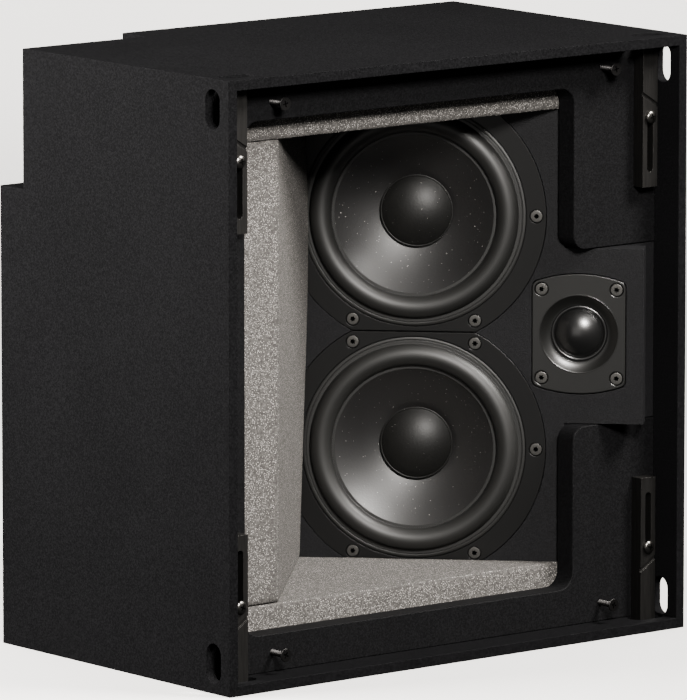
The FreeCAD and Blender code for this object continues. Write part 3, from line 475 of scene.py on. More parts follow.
def add_piece(name, mesh, finish, nodes=(), body="cabinet"):
    """Finished piece that rides on a body and stands for its CAD nodes."""
    mesh.materials.clear()
    mesh.materials.append(finish)
    piece = shown(name, mesh)
    if body:
        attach(piece, body)
    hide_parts(*nodes)
    return piece


# Finishes

def add_node(tree, kind, inputs=None, **settings):
    """Node with its settings; an input takes a value or the socket that feeds it."""
    node = tree.nodes.new(kind)
    for name, setting in settings.items():
        setattr(node, name, setting)
    for name, source in (inputs or {}).items():
        if isinstance(source, bpy.types.NodeSocket):
            tree.links.new(source, node.inputs[name])
        else:
            node.inputs[name].default_value = source
    return node


def new_finish(name):
    """Empty material with its node tree and its Object coordinates."""
    finish = bpy.data.materials.new(name)
    finish.use_nodes = True
    tree = finish.node_tree
    tree.nodes.clear()
    return finish, tree, add_node(tree, "ShaderNodeTexCoord").outputs["Object"]


def close_finish(tree, **inputs):
    """Shader and output of a material; two words of an input's name are joined by an underscore."""
    named = {name.replace("_", " "): source for name, source in inputs.items()}
    shader = add_node(tree, "ShaderNodeBsdfPrincipled", named)
    add_node(tree, "ShaderNodeOutputMaterial", {"Surface": shader.outputs["BSDF"]})


def shades(tree, factor, stops):
    """Colours picked by a factor; a stop is (position, colour)."""
    ramp = add_node(tree, "ShaderNodeValToRGB", {"Fac": factor})
    elements = ramp.color_ramp.elements
    while len(elements) < len(stops):
        elements.new(1.0)
    for element, (position, tone) in zip(elements, stops):
        element.position = position
        element.color = (*tone, 1)
    return ramp.outputs["Color"]


def tinted(tone, factor):
    """Colour made lighter or darker."""
    return [min(part * factor, 1.0) for part in tone]


def texture_paint(name, base, grit, roughness, specular):
    """Sprayed black texture paint on fibreboard: a dull, finely speckled black with soft edges.
    The real grit is about 0.4 mm; it is drawn coarser so that it shows."""
    cloud = 90 * MM
    cloud_share = 0.12
    edge_round = 0.5 * MM
    grit_height = 0.25 * MM
    finish, tree, place = new_finish(name)
    speck = add_node(tree, "ShaderNodeTexNoise", {"Vector": place, "Scale": 1 / (grit * MM), "Detail": 3.0})
    broad = add_node(tree, "ShaderNodeTexNoise", {"Vector": place, "Scale": 1 / cloud, "Detail": 2.0})
    mixed = add_node(
        tree, "ShaderNodeMix", {"Factor": cloud_share, 2: speck.outputs["Fac"], 3: broad.outputs["Fac"]},
    )
    tone = shades(
        tree, mixed.outputs[0], [(0.35, tinted(base, 0.65)), (0.5, base), (0.65, tinted(base, 1.5))],
    )
    edge = add_node(tree, "ShaderNodeBevel", {"Radius": edge_round}, samples=4)
    bump = add_node(
        tree, "ShaderNodeBump",
        {
            "Strength": 0.35, "Distance": grit_height, "Height": speck.outputs["Fac"],
            "Normal": edge.outputs["Normal"],
        },
    )
    close_finish(
        tree, Base_Color=tone, Roughness=roughness, Specular_IOR_Level=specular,
        Normal=bump.outputs["Normal"],
    )
    return finish


def specks(tree, place, spacing, reach, tone, bright):
    """Tone with round specks scattered over it, their spacing in millimetres.
    The largest specks reach that share of the spacing."""
    cells = add_node(tree, "ShaderNodeTexVoronoi", {"Vector": place, "Scale": 1 / (spacing * MM)})
    chance = add_node(tree, "ShaderNodeSeparateColor", {"Color": cells.outputs["Color"]})
    radius = add_node(tree, "ShaderNodeMath", {0: chance.outputs["Green"], 1: reach}, operation="MULTIPLY")
    inside = add_node(
        tree, "ShaderNodeMath", {0: cells.outputs["Distance"], 1: radius.outputs[0]}, operation="LESS_THAN",
    )
    mixed = add_node(
        tree, "ShaderNodeMix", {"Factor": inside.outputs[0], 6: tone, 7: (*bright, 1)}, data_type="RGBA",
    )
    return mixed.outputs[2]


def foam_finish(base):
    """Cut open-cell polyurethane foam: a matt warm grey with fine pores, and bright specks painted on as
    glints off its cell walls.
    Its real pores are about half a millimetre wide; they are drawn coarser so that they show."""
    pore = 1.1 * MM
    pore_depth = 0.6 * MM
    painted_glint_spacing = 0.95
    painted_glint_reach = 0.35
    finish, tree, place = new_finish("Cut polyurethane foam")
    cells = add_node(tree, "ShaderNodeTexVoronoi", {"Vector": place, "Scale": 1 / pore})
    split = add_node(tree, "ShaderNodeSeparateColor", {"Color": cells.outputs["Color"]})
    tone = shades(tree, split.outputs["Red"], [(0.0, tinted(base, 0.55)), (1.0, tinted(base, 1.25))])
    # Painted highlights: specks five times lighter than the foam stand for light glinting off the cell walls
    painted_glints = specks(tree, place, painted_glint_spacing, painted_glint_reach, tone, tinted(base, 5.0))
    pores = add_node(tree, "ShaderNodeTexNoise", {"Vector": place, "Scale": 1 / pore, "Detail": 2.0})
    bump = add_node(
        tree, "ShaderNodeBump", {"Strength": 0.5, "Distance": pore_depth, "Height": pores.outputs["Fac"]},
    )
    close_finish(
        tree, Base_Color=painted_glints, Roughness=0.95, Specular_IOR_Level=0.1, Normal=bump.outputs["Normal"],
    )
    return finish


def satin_coat(name, base, roughness, specular):
    """Satin powder coat or moulded rubber: an even dark tone with a broad, soft sheen."""
    grain = 0.6 * MM
    grain_height = 0.1 * MM
    edge_round = 0.8 * MM
    finish, tree, place = new_finish(name)
    speck = add_node(tree, "ShaderNodeTexNoise", {"Vector": place, "Scale": 1 / grain, "Detail": 2.0})
    tone = shades(tree, speck.outputs["Fac"], [(0.3, tinted(base, 0.88)), (0.7, tinted(base, 1.12))])
    edge = add_node(tree, "ShaderNodeBevel", {"Radius": edge_round}, samples=4)
    bump = add_node(
        tree, "ShaderNodeBump",
        {
            "Strength": 0.08, "Distance": grain_height, "Height": speck.outputs["Fac"],
            "Normal": edge.outputs["Normal"],
        },
    )
    close_finish(
        tree, Base_Color=tone, Roughness=roughness, Specular_IOR_Level=specular,
        Normal=bump.outputs["Normal"],
    )
    return finish


def dusty_moulding(name, base, roughness, specular, dust):
    """Moulded polypropylene or coated cloth: a soft, broad shine over a fine grain.
    A few pale specks of dust lie on it, the largest of them a share of their spacing."""
    talc = 1.3 * MM
    talc_height = 0.15 * MM
    dust_spacing = 2.4
    finish, tree, place = new_finish(name)
    grain = add_node(tree, "ShaderNodeTexNoise", {"Vector": place, "Scale": 1 / talc, "Detail": 3.0})
    tone = shades(tree, grain.outputs["Fac"], [(0.3, tinted(base, 0.7)), (0.7, tinted(base, 1.5))])
    dusted = specks(tree, place, dust_spacing, dust, tone, colours().dust)
    bump = add_node(
        tree, "ShaderNodeBump", {"Strength": 0.6, "Distance": talc_height, "Height": grain.outputs["Fac"]},
    )
    close_finish(
        tree, Base_Color=dusted, Roughness=roughness, Specular_IOR_Level=specular,
        Normal=bump.outputs["Normal"],
    )
    return finish


def metal(name, base, roughness, mark, stretch):
    """Plated or rolled metal: a shine that is broken by faint marks, drawn out along z by rolling."""
    edge_round = 0.4 * MM
    finish, tree, place = new_finish(name)
    drawn = add_node(tree, "ShaderNodeMapping", {"Vector": place, "Scale": (1.0, 1.0, stretch)})
    marks = add_node(
        tree, "ShaderNodeTexNoise",
        {"Vector": drawn.outputs["Vector"], "Scale": 1 / (mark * MM), "Detail": 4.0},
    )
    tone = shades(tree, marks.outputs["Fac"], [(0.3, tinted(base, 0.8)), (0.7, tinted(base, 1.15))])
    edge = add_node(tree, "ShaderNodeBevel", {"Radius": edge_round}, samples=4)
    close_finish(tree, Base_Color=tone, Metallic=1.0, Roughness=roughness, Normal=edge.outputs["Normal"])
    return finish


def plain(name, shade, roughness, metallic=0.0):
    """Even finish for small pieces and for the works inside the box."""
    finish, tree, place = new_finish(name)
    close_finish(tree, Base_Color=(*linear(shade), 1), Roughness=roughness, Metallic=metallic)
    return finish


# Cabinet

class SPEAKER_OT_cabinet(bpy.types.Operator):
    """Build the painted box as one shell with its slots and the stepped rear corner"""
    bl_idname = "speaker.cabinet"
    bl_label = "Cabinet"

    def execute(self, context):
        size = sizes()
        low, high = CAD_BOX
        panel_low, panel_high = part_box("mounting_panel")
        back_low, back_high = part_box("back_panel")
        seat = panel_high.y
        step_low, step_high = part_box("recess_back_panel")
        side_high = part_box("recess_side_panel")[1]
        floor_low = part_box("recess_floor_panel")[0]
        inner_low = Vector((back_low.x, seat - LAP, back_low.z))
        step_corner = (step_high.x, high.y + OVERCUT, high.z + OVERCUT)
        cutters = [
            block("step", (low.x - OVERCUT, step_high.y, step_low.z), step_corner),
            block("lip", (panel_low.x, low.y - OVERCUT, panel_low.z), (panel_high.x, seat, panel_high.z)),
            block("inside", inner_low, (back_high.x, step_low.y, back_high.z)),
            block(
                "beside", (side_high.x, step_low.y - LAP, back_low.z),
                (back_high.x, back_low.y, back_high.z),
            ),
            block(
                "under", (back_low.x, step_low.y - 2 * LAP, back_low.z),
                (side_high.x + 2 * LAP, back_low.y, floor_low.z),
            ),
        ]
        slot_outline = obround(size.slot_long, size.slot_wide)
        depth = panel_low.x - low.x + 2 * OVERCUT
        slots = []
        for across in (low.x, high.x):
            for up in (low.z, high.z):
                inward_x = math.copysign(1, -across)
                inward_z = 1 if up == low.z else -1
                x = across + inward_x * size.slot_inset
                z = up + inward_z * size.slot_inset
                y = low.y + size.slot_setback
                sideways = Matrix(((0, 0, 1), (1, 0, 0), (0, 1, 0))).to_4x4()
                sideways.translation = (across + depth / 2, y, z)
                upright = Matrix(((0, 1, 0), (1, 0, 0), (0, 0, -1))).to_4x4()
                upright.translation = (x, y, up - depth / 2)
                slots.append(placed(plate("slot", [slot_outline], depth), sideways))
                slots.append(placed(plate("slot", [slot_outline], depth), upright))
        cutters.append(joined("slots", slots))
        mesh = carved(block("cabinet_shell", low, high), cutters)
        mesh.shade_smooth()
        finish = texture_paint(
            "Black texture paint", colours().paint, grit=1.1, roughness=0.6, specular=0.01,
        )
        walls = ["left_side_panel", "right_side_panel", "top_panel", "bottom_panel", "back_panel"]
        boards = ["recess_back_panel", "recess_side_panel", "recess_floor_panel"]
        piece = add_piece("cabinet_shell", mesh, finish, walls + boards)
        bevel = piece.modifiers.new("Rounded edges", "BEVEL")
        bevel.width = size.board_round
        bevel.segments = 2
        bevel.limit_method = "ANGLE"
        bevel.harden_normals = True
        return {"FINISHED"}


class SPEAKER_OT_front_panel(bpy.types.Operator):
    """Build the panel inside the lip, with the sound opening and its notch"""
    bl_idname = "speaker.front_panel"
    bl_label = "Front panel"

    def execute(self, context):
        size = sizes()
        low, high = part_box("mounting_panel")
        tongue_low, tongue_high = extent("baffle_end_block", UP)
        gap = size.notch_gap
        margin = size.opening_margin
        left, right = low.x + margin, high.x - size.opening_right
        base, top = low.z + margin, high.z - margin
        corner = size.opening_round
        turn = size.notch_round
        outline = rounded([
            (low.x, low.z),
            (high.x, low.z),
            (high.x, tongue_low - gap),
            (right, tongue_low - gap, turn),
            (right, base, corner),
            (left, base, corner),
            (left, top, corner),
            (right, top, corner),
            (right, tongue_high + gap, turn),
            (high.x, tongue_high + gap),
            (high.x, high.z),
            (low.x, high.z),
        ], steps=12)
        mesh = plate("front_panel", [outline], high.y - low.y, size.board_round)
        placed(mesh, turned_to(TO_FRONT, Vector((0, low.y, 0))))
        # Painted shade: the panel takes the cabinet paint made darker, for the shade on it behind the rim
        finish = texture_paint(
            "Black texture paint, panel", tinted(colours().paint, 0.9),
            grit=1.1, roughness=0.6, specular=0.05,
        )
        add_piece("front_panel", mesh, finish, ["mounting_panel"])
        return {"FINISHED"}


class SPEAKER_OT_baffle(bpy.types.Operator):
    """Paint the baffle, the block at its end and the side of the sound well"""
    bl_idname = "speaker.baffle"
    bl_label = "Baffle"

    def execute(self, context):
        # Painted light: the baffle takes the cabinet paint made lighter, for the light that falls on it
        finish = texture_paint(
            "Black texture paint, baffle", tinted(colours().paint, 1.6),
            grit=0.9, roughness=0.5, specular=0.1,
        )
        for node in ("baffle", "baffle_end_block", "well_side_panel"):
            finish_node(node, finish)
        return {"FINISHED"}


class SPEAKER_OT_foam(bpy.types.Operator):
    """Build the foam slabs that line the sound well"""
    bl_idname = "speaker.foam"
    bl_label = "Foam lining"

    def execute(self, context):
        size = sizes()
        finish = foam_finish(colours().foam)
        face = extent("left_foam", ACROSS)[1]
        baffle_level, mouth_level = extent("left_foam", TO_ROOM)
        base, top = extent("left_foam", UP)
        # The bow rises slowly from the base, is fullest above the middle and ends steeply at the top
        lean = 2.2
        fullness = 0.5
        waves = bpy.data.textures.new("Foam waves", "CLOUDS")
        waves.noise_scale = size.foam_wave
        for node in ("left_foam", "top_foam", "bottom_foam"):
            item = shown(node, merged_copy(node))
            remesh = item.modifiers.new("Remesh", "REMESH")
            remesh.mode = "VOXEL"
            remesh.voxel_size = size.foam_voxel
            soften = item.modifiers.new("Soften", "SMOOTH")
            soften.iterations = 3
            uneven = item.modifiers.new("Uneven", "DISPLACE")
            uneven.texture = waves
            uneven.texture_coords = "LOCAL"
            uneven.strength = -size.foam_waviness
            uneven.mid_level = 0.0
            mesh = baked(item)
            if node == "left_foam":
                for vertex in mesh.vertices:
                    depth = (vertex.co.dot(TO_ROOM) - baffle_level) / (mouth_level - baffle_level)
                    height = (vertex.co.z - base) / (top - base)
                    skin = (face - vertex.co.dot(ACROSS)) / size.foam_skin
                    give = max(1 - depth, 0.0) * max(1 - skin, 0.0)
                    rise = math.sin(math.pi * min(max(height, 0.0), 1.0) ** lean) ** fullness
                    swell = rise * (size.foam_swell + size.foam_pinch) - size.foam_pinch
                    vertex.co += ACROSS * give * swell
            mesh.shade_smooth()
            add_piece(f"{node}_slab", mesh, finish, [node])
        return {"FINISHED"}


# Drivers

def crown(radius, base, crest, steps=24):
    """Half section of a dome, from its crest out to its base."""
    height = crest - base
    sphere = (radius * radius + height * height) / (2 * height)
    half = math.asin(radius / sphere)
    return [
        (sphere * math.sin(half * step / steps), crest - sphere + sphere * math.cos(half * step / steps))
        for step in range(steps + 1)
    ]


class SPEAKER_OT_woofers(bpy.types.Operator):
    """Finish the frames and build the surrounds, cones and dust caps of both woofers"""
    bl_idname = "speaker.woofers"
    bl_label = "Woofers"

    def execute(self, context):
        tones = colours()
        frame_coat = satin_coat("Satin powder coat", tones.frame_coat, roughness=0.4, specular=0.25)
        rubber = satin_coat("Moulded butyl rubber", tones.rubber, roughness=0.5, specular=0.5)
        cone = dusty_moulding(
            "Talc-filled polypropylene", tones.cone, roughness=0.5, specular=0.9, dust=0.12,
        )
        cap = dusty_moulding("Coated cloth dust cap", tones.cap, roughness=0.5, specular=0.33, dust=0.08)
        for name in WOOFERS:
            body = name.replace("woofer", "cone_assembly")
            place = front_of(f"{name}_basket", TO_ROOM)
            finish_node(f"{name}_basket", frame_coat)
            self.surround(name, body, place, rubber)
            self.cone(name, body, place, cone)
            self.cap(name, body, place, cap)
        return {"FINISHED"}

    def radii(self, node, place):
        """Smallest and largest radius of a turned node about the driver's axis."""
        offsets = [point - place.translation for point in points_of(node)]
        spread = [math.hypot(offset.dot(ACROSS), offset.z) for offset in offsets]
        return min(spread), max(spread)

    def surround(self, name, body, place, rubber):
        """Half roll between the frame and the cone, bent between the two as the cone moves."""
        size = sizes()
        wall = size.roll_wall
        node = f"{name}_surround"
        inner_lip, outer_lip = self.radii(node, place)
        rear, front = depths(node, TO_ROOM, place)
        roll = front - rear
        cone_edge = self.radii(f"{name}_cone", place)[1]
        middle = cone_edge + roll
        lip = rear + wall
        foot = math.asin(wall / roll)
        glued = wall / 5
        sweep = math.pi - foot - math.asin(glued / roll)
        groove = outer_lip - size.roll_groove_inset
        groove_floor = lip - size.roll_groove_depth
        half_mouth = size.roll_groove_wide / 2
        half_floor = size.roll_groove_floor / 2
        crest = arc((middle, rear), (roll, roll), foot, sweep, 48)
        hollow = arc((middle, rear), (wall - roll, roll - wall), 0, math.pi, 32)
        profile = [
            (outer_lip, rear),
            (outer_lip, lip - size.roll_lip_round),
            (outer_lip - size.roll_lip_round, lip),
            (groove + half_mouth, lip),
            (groove + half_floor, groove_floor),
            (groove - half_floor, groove_floor),
            (groove - half_mouth, lip),
            *crest,
            (inner_lip, rear + glued),
            (inner_lip, rear),
            *hollow,
        ]
        mesh = placed(lathe(f"{name}_roll", profile, sharp=50), place)
        piece = add_piece(f"{name}_roll", mesh, rubber, [node], body=None)
        outer = place.translation + UP * (middle + roll)
        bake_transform(piece, "cabinet", body, start=outer, end=place.translation + UP * cone_edge)
        weights = []
        for vertex in mesh.vertices:
            offset = vertex.co - place.translation
            radius = (offset - TO_ROOM * offset.dot(TO_ROOM)).length
            share = min(max((middle + roll - radius) / (2 * roll), 0.0), 1.0)
            weights.append(share * share * (3 - 2 * share))
        mesh.attributes["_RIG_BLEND"].data.foreach_set("value", weights)

    def cone(self, name, body, place, finish):
        """Flared cone with a flat rim under the surround."""
        size = sizes()
        node = f"{name}_cone"
        neck, rim = self.radii(node, place)
        rear, front = depths(node, TO_ROOM, place)
        shoulder = rim - size.cone_rim
        face = bowed((shoulder, front), (neck, rear + size.cone_neck_wall), size.cone_bow)
        behind = bowed((neck, rear), (shoulder, front - size.cone_wall), -size.cone_bow)
        profile = [(rim, front - size.cone_wall), (rim, front), *face, *behind]
        mesh = placed(lathe(f"{name}_diaphragm", profile), place)
        add_piece(f"{name}_diaphragm", mesh, finish, [node], body)

    def cap(self, name, body, place, finish):
        """Domed dust cap in its bead of glue."""
        bead = sizes().cap_bead
        node = f"{name}_dust_cap"
        outer = self.radii(node, place)[1]
        base, crest = depths(node, TO_ROOM, place)
        ring = arc((outer - bead, base), (bead, bead), 0, math.pi, 10)
        profile = [(0, base), *ring, *reversed(crown(outer - 2 * bead, base, crest))]
        mesh = placed(lathe(f"{name}_cap", profile), place)
        add_piece(f"{name}_cap", mesh, finish, [node], body)


class SPEAKER_OT_tweeter(bpy.types.Operator):
    """Build the tweeter's plate with its waveguide, and its dome"""
    bl_idname = "speaker.tweeter"
    bl_label = "Tweeter"

    def execute(self, context):
        size = sizes()
        node = "tweeter_faceplate"
        place = front_of(node, TO_ROOM)
        half = half_span(node, ACROSS)
        rise = half_span(node, UP)
        rear, front = depths(node, TO_ROOM, place)
        thickness = front - rear
        side = rise - size.plate_bow
        top = bowed((half, side), (-half, side), -size.plate_bow)
        bottom = bowed((-half, -side), (half, -side), -size.plate_bow)
        ends = [point for point in top + bottom if abs(point.x) < half - size.plate_corner / 2]
        outline = rounded([
            *[(point.x, point.y) for point in ends if point.y > 0],
            (-half, side, size.plate_corner),
            (-half, -side, size.plate_corner),
            *[(point.x, point.y) for point in ends if point.y < 0],
            (half, -side, size.plate_corner),
            (half, side, size.plate_corner),
        ])
        coat = satin_coat("Satin coat on die-cast plate", colours().plate, roughness=0.3, specular=0.65)
        mouth, throat, depth = size.guide_mouth, size.guide_throat, size.guide_depth
        recesses = []
        for middle in solid_middles("tweeter_screws"):
            spot = place.inverted() @ middle
            recesses.append([(spot.x + x, spot.y + y) for x, y in circle(size.plate_recess, 32)])
        flat = plate("faceplate", [outline, circle(mouth, 120), *recesses], thickness, size.plate_round)
        flare_power = 1.5
        shares = [step / 16 for step in range(17)]
        flare = [
            (throat + (mouth - throat) * share, -depth * (1 - share ** flare_power)) for share in shares
        ]
        overlap = mouth + size.plate_round
        sunk = size.plate_round / 10
        horn = [(overlap, -thickness), (throat, -thickness), *flare, (overlap, -sunk)]
        guide = lathe("waveguide", horn, sharp=60)
        mesh = placed(joined("tweeter_plate", [flat, guide], FLAT_SHARP), place)
        add_piece("tweeter_plate", mesh, coat, [node])
        self.dome(place)
        return {"FINISHED"}

    def dome(self, place):
        """Dome with its roll, pressed from one sheet of coated silk: black with a clear, round shine."""
        thread = 1.5 * MM
        thread_height = 0.1 * MM
        size = sizes()
        base, crest = depths("tweeter_dome", TO_ROOM, place)
        level = base + size.dome_wall
        middle = size.dome_radius + size.dome_roll
        ring = arc((middle, level), (-size.dome_roll, size.dome_roll_height), 0, math.pi, 16)[1:]
        edge = middle + size.dome_roll + size.dome_lip
        profile = [(0, base), *crown(size.dome_radius, level, crest), *ring, (edge, level), (edge, base)]
        silk, tree, coordinates = new_finish("Coated silk dome")
        weave = add_node(
            tree, "ShaderNodeTexNoise", {"Vector": coordinates, "Scale": 1 / thread, "Detail": 2.0},
        )
        bump = add_node(
            tree, "ShaderNodeBump",
            {"Strength": 0.06, "Distance": thread_height, "Height": weave.outputs["Fac"]},
        )
        close_finish(
            tree, Base_Color=(*colours().dome, 1), Roughness=0.26, Specular_IOR_Level=0.9,
            Normal=bump.outputs["Normal"],
        )
        mesh = placed(lathe("tweeter_silk", profile, sharp=60), place)
        add_piece("tweeter_silk", mesh, silk, ["tweeter_dome"])


# Clamp bars and fasteners

class SPEAKER_OT_clamp_bars(bpy.types.Operator):
    """Finish the four sliding clamp bars"""
    bl_idname = "speaker.clamp_bars"
    bl_label = "Clamp bars"

    def execute(self, context):
        steel = metal("Blackened rolled steel", colours().steel, roughness=0.5, mark=1.2, stretch=0.08)
        for level in ("upper", "lower"):
            for side in ("left", "right"):
                finish_node(f"{level}_{side}_clamp_bar", steel)
        return {"FINISHED"}


def screws_on_points():
    """Node tree that sets a screw on every point, each turned by chance."""
    tree = bpy.data.node_groups.new("Screws on points", "GeometryNodeTree")
    for name, kind in (
        ("Places", "NodeSocketGeometry"), ("Screw", "NodeSocketObject"), ("Finish", "NodeSocketMaterial"),
        ("Greatest turn", "NodeSocketFloat"), ("Seed", "NodeSocketInt"),
    ):
        tree.interface.new_socket(name, in_out="INPUT", socket_type=kind)
    tree.interface.new_socket("Screws", in_out="OUTPUT", socket_type="NodeSocketGeometry")
    source = add_node(tree, "NodeGroupInput")
    screw = add_node(tree, "GeometryNodeObjectInfo", {"Object": source.outputs["Screw"]})
    chance = add_node(
        tree, "FunctionNodeRandomValue",
        {3: source.outputs["Greatest turn"], "Seed": source.outputs["Seed"]}, data_type="FLOAT",
    )
    turn = add_node(tree, "ShaderNodeCombineXYZ", {"Z": chance.outputs[1]})
    copies = add_node(
        tree, "GeometryNodeInstanceOnPoints",
        {
            "Points": source.outputs["Places"], "Instance": screw.outputs["Geometry"],
            "Rotation": turn.outputs["Vector"],
        },
    )
    real = add_node(tree, "GeometryNodeRealizeInstances", {"Geometry": copies.outputs["Instances"]})
    finished = add_node(
        tree, "GeometryNodeSetMaterial",
        {"Geometry": real.outputs["Geometry"], "Material": source.outputs["Finish"]},
    )
    add_node(tree, "NodeGroupOutput", {"Screws": finished.outputs["Geometry"]})
    return tree


def star(radius, lobe, count=6, steps=72):
    """Round outline with lobes, such as a six-lobe socket or a knurl."""
    return [
        ((radius + lobe * math.cos(count * turn)) * math.cos(turn),
         (radius + lobe * math.cos(count * turn)) * math.sin(turn))
        for turn in turns(steps)
    ]


def cross(head):
    """Outline of a cross recess in a head of some radius."""
    reach = head / 2
    width = head / 9
    arm = [(width, reach), (-width, reach), (-width, width)]
    return [
        (Matrix.Rotation(quarter * math.pi / 2, 2) @ Vector(point))[:]
        for quarter in range(4) for point in arm
    ]


class SPEAKER_OT_screws(bpy.types.Operator):
    """Set the driver screws, the clamp screws and the spare screws"""
    bl_idname = "speaker.screws"
    bl_label = "Screws"
    # Bend that is shaded sharp on a head, and depth of a recess through a head in heights of the head
    crisp = math.radians(30)
    through = 1.2

    def execute(self, context):
        tree = screws_on_points()
        # Dulled zinc is a soft mid grey, nickel has a small bright glint, phosphate is nearly black
        zinc = plain("Zinc-plated screw", "#565553", roughness=0.45, metallic=1.0)
        nickel = plain("Nickel-plated screw", "#6b6966", roughness=0.28, metallic=1.0)
        dark = plain("Phosphated screw", "#2f2e2e", roughness=0.45, metallic=1.0)
        for node in ("upper_woofer_screws", "lower_woofer_screws", "tweeter_screws"):
            self.set_screws(tree, node, TO_ROOM, self.socket_head(), zinc, "driver_screw")
        self.set_screws(tree, "clamp_bar_screws", TO_FRONT, self.pan_head(), nickel, "clamp_screw")
        self.set_screws(tree, "spare_clamp_screws", TO_FRONT, self.bugle_head(), dark, "clamp_screw")
        return {"FINISHED"}

    def recessed(self, body, outline, depth):
        """Screw head with a recess of some outline sunk into its crown."""
        tool = plate("recess", [outline], 2 * depth)
        head = carved(body, [placed(tool, Matrix.Translation((0, 0, depth)))])
        head.set_sharp_from_angle(angle=self.crisp)
        return head

    def socket_head(self):
        """Low head with a six-lobe socket, open to the dark shank hole so that it shows black."""
        size = sizes()
        radius, height = size.driver_head, size.driver_head_height
        edge = height / 4
        profile = rounded([(0.0, -height), (radius, -height), (radius, 0.0, edge), (0.0, 0.0)])
        lobe = size.driver_socket / 5
        lobes = star(size.driver_socket, lobe)
        return self.recessed(lathe("socket_head", profile, steps=64), lobes, height * self.through)

    def pan_head(self):
        """Domed head with a cross recess."""
        size = sizes()
        radius, height = size.clamp_head, size.clamp_head_height
        side = height / 4
        bulge = arc((0, side - height), (radius, height - side), 0, math.pi / 2, 14)[:-1]
        body = lathe("pan_head", [(0.0, -height), (radius, -height), *bulge, (0.0, 0.0)], steps=64)
        return self.recessed(body, cross(radius), height * self.through)

    def bugle_head(self):
        """Flat head with a curved underside, on a threaded shank."""
        size = sizes()
        radius, height, stand = size.clamp_head, size.spare_head_height, size.spare_stand
        pitch = size.thread_pitch
        core = radius * 0.3
        thread = radius * 0.47
        rim = height / 5
        edge = rim / 3
        flare_power = 2.2
        shares = [step / 8 for step in range(9)]
        under = [
            (core + (radius - core) * share ** flare_power, -rim - (height - rim) * (1 - share))
            for share in shares
        ]
        flank = pitch * 0.3
        shank = []
        for turn in range(int((stand - height) / pitch)):
            level = turn * pitch - stand
            shank += [(core, level), (thread, level + flank), (core, level + 2 * flank)]
        profile = [(0.0, -stand), *shank, *under, (radius, -edge), (radius - edge, 0.0), (0.0, 0.0)]
        recess_depth = height * 0.6
        return self.recessed(lathe("bugle_head", profile, steps=64), cross(radius), recess_depth)

    def set_screws(self, tree, node, out, screw_mesh, finish, slot):
        """Put a screw on each solid of a node."""
        level = extent(node, out)[1]
        back = turned_to(out, Vector()).inverted()
        points = []
        for middle in solid_middles(node):
            local = back @ middle
            points.append((local.x, local.y, level))
        places = bpy.data.meshes.new(f"{node}_places")
        places.from_pydata(points, [], [])
        item = shown(f"{node}_places", places)
        screw = shown("screw", screw_mesh)
        modifier = item.modifiers.new("Screws", "NODES")
        modifier.node_group = tree
        values = {
            "Screw": screw, "Finish": finish, "Greatest turn": math.pi / 2, "Seed": sizes().screw_seed,
        }
        for socket in tree.interface.items_tree:
            if socket.in_out == "INPUT" and socket.name in values:
                modifier[socket.identifier] = values[socket.name]
        mesh = placed(baked(item), turned_to(out, Vector()))
        bpy.data.objects.remove(screw)
        add_piece(f"{node}_set", mesh, finish, [node])


# Works that show at the rear or not at all

class SPEAKER_OT_terminals(bpy.types.Operator):
    """Build the binding posts in the rear recess"""
    bl_idname = "speaker.terminals"
    bl_label = "Terminals"

    def execute(self, context):
        size = sizes()
        gold = metal("Gold-plated brass", linear("#c9a24a"), roughness=0.25, mark=3.0, stretch=1.0)
        ripple = size.post_knurl / 2
        ribs = 24
        knurl = star(size.post_knob - ripple, ripple, ribs, ribs * 8)
        seat = -size.post_knob_height
        foot = seat - size.post_collar_height
        for node, shade in (("positive_terminal", "#8e1b17"), ("negative_terminal", "#141414")):
            place = front_of(node, TO_REAR)
            rear = depths(node, TO_REAR, place)[0]
            bore = circle(size.post_bore, 48)
            knob = plate("knob", [knurl, bore], size.post_knob_height, LAP)
            collar = lathe("collar", rounded([
                (0.0, foot), (size.post_collar, foot, LAP), (size.post_collar, seat, LAP), (0.0, seat),
            ]))
            stud = lathe("stud", [
                (0.0, rear), (size.post_stud, rear), (size.post_stud, foot + LAP), (0.0, foot + LAP),
            ])
            post = placed(joined(f"{node}_post", [knob, stud]), place)
            add_piece(f"{node}_post", post, gold, [node])
            # Moulded ABS is an even colour with a mild gloss
            ring = plain(f"Moulded ABS collar, {node.split('_')[0]}", shade, roughness=0.4)
            add_piece(f"{node}_collar", placed(collar, place), ring)
        return {"FINISHED"}


